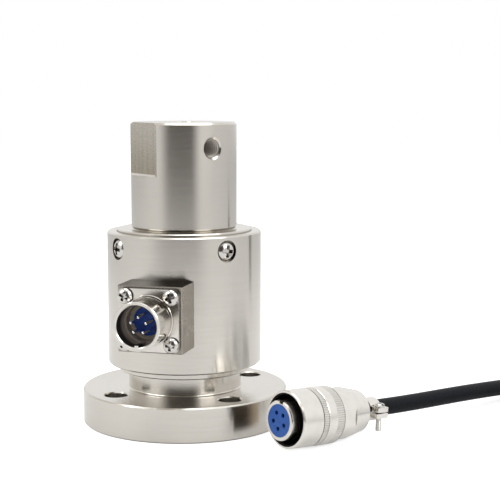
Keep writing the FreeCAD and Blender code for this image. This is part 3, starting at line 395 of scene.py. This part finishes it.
# %% [markdown]
# ## The lamps
# Three large soft lamps light the painted and moulded pieces and lay weak shadows on the floor. They
# are kept low, because the world already fills the scene from all sides.

# %% Lamps
LAMP_AIM = Vector((0, 0, 0.05))
LAMPS = {"lamp_left": ((-0.9, -0.6, 1.0), 0.8, 7.0),
         "lamp_right": ((1.1, -0.5, 0.9), 0.8, 6.0),
         "lamp_top": ((0.1, 0.2, 1.4), 1.0, 6.0)}

for name, (place, size, watts) in LAMPS.items():
    data = bpy.data.lights.new(name, "AREA")
    data.shape = "SQUARE"
    data.size = size
    data.energy = watts
    lamp = placed(name, data)
    lamp.location = place
    lamp.rotation_mode = "QUATERNION"
    lamp.rotation_quaternion = (LAMP_AIM - Vector(place)).to_track_quat("-Z", "Y")
    print(name, "gives", watts, "W")

# %% [markdown]
# ## Metal finishes
# Turning leaves fine rings round the axis, and milling leaves straight grain. Both are a noise that
# is stretched along the tool's path: on turned work the noise reads the distance from the axis and
# the height, so the rings close on themselves and run up cylinders and across faces alike. Each
# noise is given by its scale, its detail and its roughness, and each relief by the strength and the
# depth of its bumps.

# %% Helpers that the finishes share
NOISE_SPAN = (0.3, 0.7)
CREVICE_SAMPLES = 8
CREVICE_SPAN = (0.25, 0.8)


def varied(n, colour, share, amount):
    """The colour, made darker by up to amount where share is high."""
    dark = tuple(c * (1 - amount) for c in colour[:3]) + (1.0,)
    return n.mix_colour(share, colour, dark)


def noise(n, place, scale, detail, rough):
    node = n.add("ShaderNodeTexNoise", Vector=place, Scale=scale, Detail=detail, Roughness=rough)
    return node.outputs["Fac"]


def crevice(n, reach):
    """How deep a spot lies in a recess or seam: 1 at the bottom, 0 in the open."""
    near = n.add("ShaderNodeAmbientOcclusion", {"samples": CREVICE_SAMPLES}, Distance=reach)
    return n.soft_range(near.outputs["AO"], *CREVICE_SPAN, 1.0, 0.0)


def relief(n, height, strength, depth):
    """Normal of a surface with a fine relief."""
    return n.add("ShaderNodeBump", Strength=strength, Distance=depth, Height=height).outputs[0]


def grain_place(n, stretch, turn=0.0):
    """Object coordinates, turned about Z and stretched for straight grain."""
    node = n.add("ShaderNodeMapping", Vector=n.spot())
    node.inputs["Rotation"].default_value = (0.0, 0.0, math.radians(turn))
    node.inputs["Scale"].default_value = stretch
    return node.outputs[0]


# %% The shaft's milled flats
FLAT_TURN = -40.0
FLAT_AT = 17.7
FLAT_SLACK = 0.2
FLAT_LOW = 94.2
SHAFT_TOP = 114.0
FLAT_LIGHT = ((0.42, 0.38, 0.31, 1.0), (0.58, 0.545, 0.49, 1.0))
FLAT_DARK = ((0.34, 0.306, 0.25, 1.0), (0.49, 0.46, 0.41, 1.0))
FLAT_GRAIN = (900.0, 3.0, 0.6)
FLAT_STRETCH = (1.0, 1.0, 0.02)
FLAT_ROUGHER = 0.08


def turned(angle):
    """Unit vector at a turn in degrees from the socket's direction, counted towards +X."""
    a = math.radians(angle)
    return Vector((math.sin(a), -math.cos(a), 0.0))


def on_flats(n, parts):
    """1 on the shaft's two flats and 0 elsewhere, from the separated coordinates."""
    way = turned(FLAT_TURN)
    along = n.maths("ABSOLUTE", n.maths(
        "ADD", n.maths("MULTIPLY", parts.outputs[0], way.x),
        n.maths("MULTIPLY", parts.outputs[1], way.y)))
    high = n.maths("MULTIPLY", n.maths("GREATER_THAN", along, FLAT_AT * MM),
                   n.maths("GREATER_THAN", parts.outputs[2], FLAT_LOW * MM))
    return n.maths("MULTIPLY", high, n.maths("LESS_THAN", along, (FLAT_AT + FLAT_SLACK) * MM))


def flat_colour(n, parts, grain):
    """Colour of the flats' grain, browner towards their lower end."""
    up = n.soft_range(parts.outputs[2], FLAT_LOW * MM, SHAFT_TOP * MM)
    return n.mix_colour(n.soft_range(grain, *NOISE_SPAN), n.mix_colour(up, *FLAT_LIGHT),
                        n.mix_colour(up, *FLAT_DARK))


# %% Turned nickel
NICKEL = (0.665, 0.635, 0.585, 1.0)
NICKEL_VARIES = 0.04
NICKEL_ROUGH = (0.18, 0.205)
NICKEL_CLOUD = (42.0, 4.0, 0.6)
FINE_RINGS = (5200.0, 4.0, 0.7)
COARSE_RINGS = (900.0, 3.0, 0.6)
RING_DRIFT = 0.0012
TURNED_RELIEF = (0.05, 0.00004)
SEAM_PAINTED_SHADE = (0.11, 0.095, 0.075, 1.0)
SEAM_REACH = 0.0014
SEAM_SHARE = 0.55


def ring_place(n):
    """Coordinates for rings about the sensor's axis: radius, height and a slow drift."""
    parts = n.add("ShaderNodeSeparateXYZ", Vector=n.spot())
    radius = n.maths("SQRT", n.maths("ADD", n.maths("POWER", parts.outputs[0], 2.0),
                                     n.maths("POWER", parts.outputs[1], 2.0)))
    turn = n.maths("ARCTAN2", parts.outputs[1], parts.outputs[0])
    joined = n.add("ShaderNodeCombineXYZ", X=radius, Y=parts.outputs[2],
                   Z=n.maths("MULTIPLY", turn, RING_DRIFT))
    return joined.outputs[0], parts


def turned_nickel():
    """Satin nickel over turned steel, with milled grain where the shaft's flats are."""
    finish, n = new_finish("turned_nickel")
    rings, parts = ring_place(n)
    fine = noise(n, rings, *FINE_RINGS)
    coarse = noise(n, rings, *COARSE_RINGS)
    cloud = noise(n, n.spot(), *NICKEL_CLOUD)
    grain = noise(n, grain_place(n, FLAT_STRETCH, -FLAT_TURN), *FLAT_GRAIN)
    flat = on_flats(n, parts)
    lines = n.maths("ADD", n.maths("MULTIPLY", fine, n.maths("SUBTRACT", 1.0, flat)),
                    n.maths("MULTIPLY", grain, flat))
    tone = n.maths("ADD", n.maths("MULTIPLY", coarse, 0.5), n.maths("MULTIPLY", cloud, 0.5))
    colour = varied(n, NICKEL, n.soft_range(tone, *NOISE_SPAN), NICKEL_VARIES)
    colour = n.mix_colour(flat, colour, flat_colour(n, parts, grain))
    # Painted shade: the colour darkens in seams, where other surfaces stand close.
    seam = n.maths("MULTIPLY", crevice(n, SEAM_REACH), SEAM_SHARE)
    colour = n.mix_colour(seam, colour, SEAM_PAINTED_SHADE)
    rough = n.maths("ADD", n.soft_range(coarse, *NOISE_SPAN, *NICKEL_ROUGH),
                    n.maths("MULTIPLY", flat, FLAT_ROUGHER))
    round_axis = n.add("ShaderNodeTangent", {"direction_type": "RADIAL", "axis": "Z"})
    n.output(n.add("ShaderNodeBsdfPrincipled", Base_Color=colour, Metallic=1.0, Roughness=rough,
                   Normal=relief(n, lines, *TURNED_RELIEF), Anisotropic=0.6,
                   Anisotropic_Rotation=0.25, Tangent=round_axis.outputs[0]))
    return finish


# %% Milled nickel of the socket's block
BLOCK_NICKEL = (0.43, 0.395, 0.35, 1.0)
BLOCK_VARIES = 0.25
BLOCK_ROUGH = (0.26, 0.34)
BLOCK_GRAIN = (2400.0, 4.0, 0.7)
BLOCK_STRETCH = (1.0, 1.0, 0.06)
BLOCK_CLOUD = (160.0, 4.0, 0.6)
BLOCK_RELIEF = (0.3, 0.00004)
DARK_TOP_AND_SEAM_SHADE = (0.040, 0.034, 0.026, 1.0)
DARK_FACING_UP = (0.6, 0.8)
SEAM_SHADE_REACH = 0.0012
SEAM_SHADE_SHARE = 0.8


def milled_nickel():
    """Plated steel with straight milling grain, darker on its upward faces, with painted shade in
    its seams.
    """
    finish, n = new_finish("milled_block")
    grain = noise(n, grain_place(n, BLOCK_STRETCH), *BLOCK_GRAIN)
    cloud = noise(n, n.spot(), *BLOCK_CLOUD)
    tone = n.maths("ADD", n.maths("MULTIPLY", grain, 0.6), n.maths("MULTIPLY", cloud, 0.4))
    shade = varied(n, BLOCK_NICKEL, n.soft_range(tone, *NOISE_SPAN), BLOCK_VARIES)
    faces = n.add("ShaderNodeSeparateXYZ", Vector=n.add("ShaderNodeTexCoord").outputs["Normal"])
    # Darker on the faces that look up.
    shade = n.mix_colour(n.soft_range(faces.outputs[2], *DARK_FACING_UP), shade, DARK_TOP_AND_SEAM_SHADE)
    # Painted shade in the block's seams.
    seam = n.maths("MULTIPLY", crevice(n, SEAM_SHADE_REACH), SEAM_SHADE_SHARE)
    shade = n.mix_colour(seam, shade, DARK_TOP_AND_SEAM_SHADE)
    n.output(n.add("ShaderNodeBsdfPrincipled", Base_Color=shade, Metallic=1.0,
                   Roughness=n.soft_range(cloud, *NOISE_SPAN, *BLOCK_ROUGH),
                   Normal=relief(n, grain, *BLOCK_RELIEF)))
    return finish


# %% [markdown]
# Bright plating is smooth, so all it gets is the faint unevenness that handling leaves, and painted
# shade in its recesses. The piece's reflections do the rest.

# %% Bright plating
MARKS = (260.0, 2.0, 0.5)
MARKS_SPAN = (0.35, 0.75)
MARKS_DEPTH = 0.04
MARKS_RELIEF = (0.03, 0.00003)
RECESS_SHADE = (0.045, 0.040, 0.033, 1.0)
RECESS_SHADE_SHARE = 0.9
PLATING_ROUGHER = 0.05


def plating(n, colour, rough, recess, shade_share):
    """Colour, roughness and normal of smooth plating with faint handling marks and painted shade in
    recesses.
    """
    cloud = noise(n, n.spot(), *MARKS)
    shade = varied(n, colour, n.soft_range(cloud, *MARKS_SPAN), MARKS_DEPTH)
    # Painted shade in recesses, such as the screws' cross slots and the gaps round their heads.
    shade = n.mix_colour(n.maths("MULTIPLY", crevice(n, recess), shade_share), shade, RECESS_SHADE)
    roughness = n.soft_range(cloud, *NOISE_SPAN, rough, rough + PLATING_ROUGHER)
    return shade, roughness, relief(n, cloud, *MARKS_RELIEF)


def bright_metal(name, colour, rough, recess=0.0011):
    """Smooth plating, with painted shade in its recesses."""
    finish, n = new_finish(name)
    shade, roughness, normal = plating(n, colour, rough, recess, RECESS_SHADE_SHARE)
    n.output(n.add("ShaderNodeBsdfPrincipled", Base_Color=shade, Metallic=1.0,
                   Roughness=roughness, Normal=normal))
    return finish


# %% [markdown]
# ## Painted shade that is found by its place
# The plug's inner tube and its cage are one plated piece, and the deep gap between them, which takes
# the socket's barrel, gets black painted shade. The socket's barrel gets painted shade inside, black
# at the mouth and a painted lit brown-grey deeper in. The painted shade is found by its place: each
# finish measures how far a spot lies from a connector's axis and how deep it lies behind the rim, so
# no mesh has to be split. The knurl and the cut thread do the same.

# %% Finishes that depend on the place along an axis
PAINTED_SHADE_ROUGHER = 0.35
PAINTED_SHADE_GLOSS = 0.15
PAINTED_RECESS = 0.0008
SHADED_PLATING_RECESS_SHARE = 0.7


def along_axis(n, origin, axis):
    """Distance from an axis and depth along it, both in metres, of the spot being shaded."""
    from_rim = n.vector_maths("SUBTRACT", n.spot(), tuple(origin * MM))
    back = n.vector_maths("DOT_PRODUCT", from_rim, tuple(axis))
    span = n.vector_maths("DOT_PRODUCT", from_rim, from_rim)
    out = n.maths("SQRT", n.maths("MAXIMUM", 0.0, n.maths("SUBTRACT", span,
                                                          n.maths("MULTIPLY", back, back))))
    return out, back


def painted_plating(name, colour, rough, where):
    """Bright plating with painted shade; where(n) gives the painted shade's share and its colour."""
    finish, n = new_finish(name)
    painted, shade_colour = where(n)
    shade, roughness, normal = plating(n, colour, rough, PAINTED_RECESS, SHADED_PLATING_RECESS_SHARE)
    roughness = n.maths("ADD", roughness, n.maths("MULTIPLY", painted, PAINTED_SHADE_ROUGHER))
    n.output(n.add("ShaderNodeBsdfPrincipled", Base_Color=n.mix_colour(painted, shade, shade_colour),
                   Metallic=n.maths("SUBTRACT", 1.0, painted), Roughness=roughness,
                   Specular_IOR_Level=PAINTED_SHADE_GLOSS, Normal=normal))
    return finish


# %% Gap and knurl of the plug
TUBE_R = 6.6
TUBE_LIP = 0.7
CAGE_R = 8.0
GAP_FLOOR = 9.6
GAP_PAINTED_SHADE = (0.010, 0.009, 0.009, 1.0)
KNURL_RADII = (10.28, 10.37)
KNURL_FROM = 9.1
KNURL_SHARE = 0.3
KNURL_SHADE = (0.16, 0.145, 0.125, 1.0)


def in_plug_gap(n):
    # Painted shade, black in the deep gap between the plug's tube and its cage.
    out, back = along_axis(n, PLUG_RIM, PLUG_AXIS)
    outside = n.maths("MULTIPLY", n.maths("GREATER_THAN", out, TUBE_R * MM),
                      n.maths("LESS_THAN", back, GAP_FLOOR * MM))
    share = n.maths("MULTIPLY", outside,
                    n.maths("MAXIMUM", n.maths("GREATER_THAN", out, CAGE_R * MM),
                            n.maths("GREATER_THAN", back, TUBE_LIP * MM)))
    return share, GAP_PAINTED_SHADE


def in_knurl(n):
    # Painted shade in the knurl's grooves.
    out, back = along_axis(n, PLUG_RIM, PLUG_AXIS)
    low = n.soft_range(out, KNURL_RADII[0] * MM, KNURL_RADII[1] * MM, KNURL_SHARE, 0.0)
    return n.maths("MULTIPLY", low, n.maths("GREATER_THAN", back, KNURL_FROM * MM)), KNURL_SHADE


# %% Inside of the socket's barrel
SOCKET_HEIGHT = 45.3
SOCKET_WALL_R = 7.45
SOCKET_LIP = 0.45
SOCKET_FADE = (3.5, 7.8)
SOCKET_MOUTH_SHADE = (0.016, 0.013, 0.011, 1.0)
SOCKET_DEEP_PAINTED_LIGHT = (0.42, 0.36, 0.30, 1.0)


def node_low_y(name):
    """Nearest point of a node towards the socket's front, in millimetres."""
    return min(v.co.y for v in frame["nodes"][name].data.vertices) / MM


SOCKET_MOUTH = Vector((0.0, node_low_y("socket_shell"), SOCKET_HEIGHT))
SOCKET_FACE = node_low_y("socket_insulator")
print("socket mouth at", round(SOCKET_MOUTH.y, 2), "and insulator face at", round(SOCKET_FACE, 2))


def in_socket_mouth(n):
    # Painted shade inside the barrel, black near the mouth, lifting deeper in to a brown-grey that
    # is painted light on the rear wall.
    out, back = along_axis(n, SOCKET_MOUTH, Vector((0.0, 1.0, 0.0)))
    inside = n.maths("MULTIPLY", n.maths("LESS_THAN", out, SOCKET_WALL_R * MM),
                     n.maths("GREATER_THAN", back, SOCKET_LIP * MM))
    deep = n.soft_range(back, SOCKET_FADE[0] * MM, SOCKET_FADE[1] * MM)
    return inside, n.mix_colour(deep, SOCKET_MOUTH_SHADE, SOCKET_DEEP_PAINTED_LIGHT)


# %% Bare cut thread
THREAD_ROOT_SHADE = (0.38, 0.345, 0.30, 1.0)
THREAD_CREST_HIGHLIGHT = (0.92, 0.88, 0.81, 1.0)
THREAD_RADII = (3.05, 3.32)
THREAD_MARKS = (800.0, 3.0, 0.55)
THREAD_VARIES = 0.25


def cut_thread(name, origin, axis):
    """Bare cut thread with a painted highlight along its crest and painted shade down at its root.
    """
    finish, n = new_finish(name)
    out = along_axis(n, origin, axis)[0]
    # Painted highlight on the crest and painted shade at the root, by the distance from the hole's
    # axis.
    depth = n.soft_range(out, THREAD_RADII[0] * MM, THREAD_RADII[1] * MM)
    shade = varied(n, THREAD_CREST_HIGHLIGHT, noise(n, n.spot(), *THREAD_MARKS), THREAD_VARIES)
    shade = n.mix_colour(depth, shade, THREAD_ROOT_SHADE)
    n.output(n.add("ShaderNodeBsdfPrincipled", Base_Color=shade, Metallic=0.15, Roughness=0.36))
    return finish


# %% [markdown]
# ## Plastic, rubber and wire
# Mouldings take the fine grain of their mould, so one function serves insulators, rubber and the
# lead's jacket, with its own grain and gloss for each. The wires in one node are separate islands
# of its mesh, and the island's random number picks each core's colour.

# %% Mouldings
MOULD_FINENESS = (4.0, 0.6)
MOULD_BUMPS = 0.25
MOULD_ROUGHER = 0.1
RUBBER_GRAIN = {"scale": 1400.0, "varies": 0.2, "depth": 0.00005}
FILM_GRAIN = {"scale": 700.0, "varies": 0.15, "depth": 0.00002}


def moulding(name, colour, rough, scale, varies, depth, gloss=0.5):
    """Moulded plastic or rubber with a faint surface grain."""
    finish, n = new_finish(name)
    grain = noise(n, n.spot(), scale, *MOULD_FINENESS)
    shade = varied(n, colour, n.soft_range(grain, *NOISE_SPAN), varies)
    n.output(n.add("ShaderNodeBsdfPrincipled", Base_Color=shade,
                   Roughness=n.soft_range(grain, *NOISE_SPAN, rough, rough + MOULD_ROUGHER),
                   Specular_IOR_Level=gloss, Normal=relief(n, grain, MOULD_BUMPS, depth)))
    return finish


# %% Wire insulation
WIRE_COLOURS = [(0.48, 0.03, 0.02), (0.02, 0.02, 0.02), (0.60, 0.58, 0.54), (0.03, 0.22, 0.06),
                (0.62, 0.40, 0.03), (0.03, 0.08, 0.40)]
WIRE_GRAIN = (900.0, 4.0, 0.6)
WIRE_RELIEF = (0.2, 0.00002)
WIRE_ROUGH = (0.35, 0.45)


def wire_insulation():
    """Coloured insulation, one colour for each core."""
    finish, n = new_finish("wire_insulation")
    core = n.add("ShaderNodeNewGeometry").outputs["Random Per Island"]
    ramp = n.add("ShaderNodeValToRGB", Fac=core)
    ramp.color_ramp.interpolation = "CONSTANT"
    for i, colour in enumerate(WIRE_COLOURS):
        at = i / len(WIRE_COLOURS)
        stop = ramp.color_ramp.elements[0] if i == 0 else ramp.color_ramp.elements.new(at)
        stop.color = (*colour, 1.0)
    ramp.color_ramp.elements.remove(ramp.color_ramp.elements[-1])
    grain = noise(n, n.spot(), *WIRE_GRAIN)
    n.output(n.add("ShaderNodeBsdfPrincipled", Base_Color=ramp.outputs["Color"],
                   Roughness=n.soft_range(grain, *NOISE_SPAN, *WIRE_ROUGH),
                   Normal=relief(n, grain, *WIRE_RELIEF)))
    return finish


# %% [markdown]
# ## Dressing the frame
# The record gives every node a material slot, so one table of finishes dresses them all. Four nodes
# get a finish of their own: the socket's insulator, toned for the light deep in the socket, which is
# painted light and shade; the knurl and the two connectors, with their painted shade.

# %% One finish for each slot of the record
finishes = {
    "plated_steel": turned_nickel(),
    "block_steel": milled_nickel(),
    "screw_steel": bright_metal("screw_bright", (0.66, 0.64, 0.61, 1.0), rough=0.13),
    "connector_nickel": bright_metal("connector_nickel", (0.80, 0.775, 0.73, 1.0), rough=0.18),
    "spring_steel": bright_metal("spring_wire", (0.45, 0.45, 0.44, 1.0), rough=0.25),
    "contact_silver": bright_metal("contact_silver", (0.90, 0.90, 0.88, 1.0), rough=0.12,
                                   recess=0.0003),
    # Painted shade: the plug's contacts are dark, standing for the shade down their holes.
    "contact_dark": bright_metal("contact_hole_shade", (0.12, 0.11, 0.10, 1.0), rough=0.45),
    "tin": bright_metal("tinned_strands", (0.70, 0.70, 0.69, 1.0), rough=0.30),
    "blue_insulator": moulding("blue_moulding", (0.012, 0.095, 0.40, 1.0), rough=0.34,
                               scale=900.0, varies=0.10, depth=0.00002),
    "black_rubber": moulding("black_rubber", (0.02, 0.02, 0.02, 1.0), rough=0.60, **RUBBER_GRAIN),
    "gasket_rubber": moulding("gasket_rubber", (0.06, 0.055, 0.05, 1.0), rough=0.70,
                              **RUBBER_GRAIN),
    "gauge_foil": moulding("gauge_film", (0.62, 0.33, 0.10, 1.0), rough=0.30, **FILM_GRAIN),
    "board_green": moulding("board_resist", (0.02, 0.16, 0.06, 1.0), rough=0.35, **FILM_GRAIN),
    "wire_red": wire_insulation(),
    "cable_jacket": moulding("cable_jacket", (0.006, 0.007, 0.010, 1.0), rough=0.46,
                             scale=1100.0, varies=0.25, depth=0.00004, gloss=0.12),
}

# %% Nodes whose finish differs from their slot's
node_finishes = {
    # Painted light and shade: the plug's blue plastic again, toned for the light deep in the socket.
    "socket_insulator": moulding("blue_moulding_socket_light", (0.008, 0.085, 0.56, 1.0), rough=0.36,
                                 scale=900.0, varies=0.12, depth=0.00002),
    "coupling_sleeve": painted_plating("knurled_plating", (0.80, 0.775, 0.73, 1.0), 0.18,
                                       in_knurl),
    "plug_shell": painted_plating("gap_plating", (0.78, 0.75, 0.70, 1.0), 0.18, in_plug_gap),
    "socket_shell": painted_plating("socket_plating", (0.74, 0.71, 0.66, 1.0), 0.15,
                                    in_socket_mouth),
}
slot_of = {part["node"]: part["material_slot"] for part in frame["record"]["subparts"]}
for node, obj in frame["nodes"].items():
    for socket in obj.material_slots:
        socket.material = node_finishes.get(node, finishes[slot_of[node]])
print("finished", len(frame["nodes"]), "nodes with", len(finishes) + len(node_finishes),
      "finishes")

# %% [markdown]
# ## Cut threads
# A thread is a ridge that climbs by one pitch a turn, so one small triangle, spun with a rise at
# every step, makes it. The tapped hole is modelled at its core, and its ridge stands a little into
# the bore, where the light catches it. The clamp's screws get the same ridge, outside their shanks.

# %% Helical ridges
RIDGE_HALF_SHARE = 0.42


def spin_about_z(form, geom, angle, steps, rise=0.0, merge=False):
    """Spins geometry about the local Z axis and turns the new faces outwards."""
    bmesh.ops.spin(form, geom=geom, cent=(0, 0, 0), axis=(0, 0, 1), dvec=(0, 0, rise),
                   angle=angle, steps=steps, use_merge=merge)
    bmesh.ops.recalc_face_normals(form, faces=form.faces[:])


def helix_ridge(name, root_r, crest_r, pitch, turns, steps_a_turn, place):
    """Closed ridge wound round the local Z axis from the origin upwards."""
    form = bmesh.new()
    half = pitch * RIDGE_HALF_SHARE
    corners = [form.verts.new(Vector((r, 0.0, z)) * MM)
               for r, z in ((root_r, -half), (crest_r, 0.0), (root_r, half))]
    form.faces.new(corners)
    spin_about_z(form, form.verts[:] + form.edges[:] + form.faces[:], 2 * math.pi * turns,
                 round(turns * steps_a_turn), pitch * MM / steps_a_turn)
    bmesh.ops.transform(form, matrix=place, verts=form.verts[:])
    return placed_form(name, form)


def facing(origin, out):
    """Matrix whose local Z runs along out from an origin in millimetres."""
    return Matrix.Translation(origin * MM) @ out.to_track_quat("Z", "X").to_matrix().to_4x4()


# %% Thread of the lock hole
LOCK_TURN = 50.0
LOCK_HEIGHT = 104.7
LOCK_PITCH = 1.25
LOCK_ROOT_R = 3.42
LOCK_CREST_R = 2.98
LOCK_FROM = 4.8
LOCK_TO = 18.7
LOCK_STEPS = 40

lock_way = turned(LOCK_TURN)
lock_middle = Vector((0, 0, LOCK_HEIGHT))
lock_thread = helix_ridge("lock_hole_thread", LOCK_ROOT_R, LOCK_CREST_R, LOCK_PITCH,
                          (LOCK_TO - LOCK_FROM) / LOCK_PITCH, LOCK_STEPS,
                          facing(lock_middle + lock_way * LOCK_FROM, lock_way))
lock_thread.data.materials.append(cut_thread("cut_thread", lock_middle, lock_way))
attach(lock_thread, "sensor")

# %% Threads of the clamp's two screws
CLAMP_AT = 40.2
CLAMP_SCREW_SIDE = 6.1
CLAMP_THREAD_LOW = -6.6
CLAMP_ROOT_R = 0.98
CLAMP_CREST_R = 1.09
CLAMP_PITCH = 0.4
CLAMP_TURNS = 10
CLAMP_STEPS = 24

for side_name, side_sign in (("near", 1), ("far", -1)):
    foot = (PLUG_RIM + PLUG_AXIS * CLAMP_AT + PLUG_SIDE * side_sign * CLAMP_SCREW_SIDE
            + PLUG_UP * CLAMP_THREAD_LOW)
    screw_thread = helix_ridge("clamp_thread_" + side_name, CLAMP_ROOT_R, CLAMP_CREST_R,
                               CLAMP_PITCH, CLAMP_TURNS, CLAMP_STEPS, facing(foot, PLUG_UP))
    screw_thread.data.materials.append(finishes["screw_steel"])
    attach(screw_thread, "sensor")

# %% [markdown]
# ## The grey ring in the socket
# Round the socket's blue insulator the real one shows a thin grey ring that the frame doesn't have.
# It is a small rectangle's outline, spun once round and merged with its start, which leaves a closed
# ring. It lies flat on the insulator's face.

# %% Thin ring on the insulator's face
RING_INNER_R = 5.35
RING_OUTER_R = 7.28
RING_THICK = 0.5
RING_STEPS = 72

form = bmesh.new()
section = [(RING_INNER_R, 0.0), (RING_OUTER_R, 0.0), (RING_OUTER_R, RING_THICK),
           (RING_INNER_R, RING_THICK)]
corners = [form.verts.new(Vector((r, 0.0, z)) * MM) for r, z in section]
outline = [form.edges.new(ends) for ends in zip(corners, corners[1:] + corners[:1])]
spin_about_z(form, corners + outline, 2 * math.pi, RING_STEPS, merge=True)
ring_place_on_face = facing(Vector((0.0, SOCKET_FACE, SOCKET_HEIGHT)), Vector((0.0, -1.0, 0.0)))
bmesh.ops.transform(form, matrix=ring_place_on_face, verts=form.verts[:])
socket_ring = placed_form("socket_ring", form)
socket_ring.data.materials.append(moulding("ring_seal", (0.60, 0.53, 0.45, 1.0), rough=0.36,
                                           scale=1400.0, varies=0.2, depth=0.00003))
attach(socket_ring, "sensor")

# %% [markdown]
# ## The coupling's spring
# The spring stands between the sleeve's inner stop and the screwed backshell. It shortens towards
# the backshell by as much as the sleeve slides, and here it gets a mesh of its own.

spring = frame["nodes"]["coupling_spring"]
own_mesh(spring)

# %% [markdown]
# ## The lead
# The curve replaces the three plain solids of the lead. The plug's pieces and the flying cores stay
# the frame's own. The wound part lies outside the picture, so its mirror image is kept off the
# sensor too.

lead_curve.materials.append(finishes["cable_jacket"])
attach(lead, "sensor")
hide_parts("cable", "cable_coil", "cable_tail")
lead.visible_glossy = False
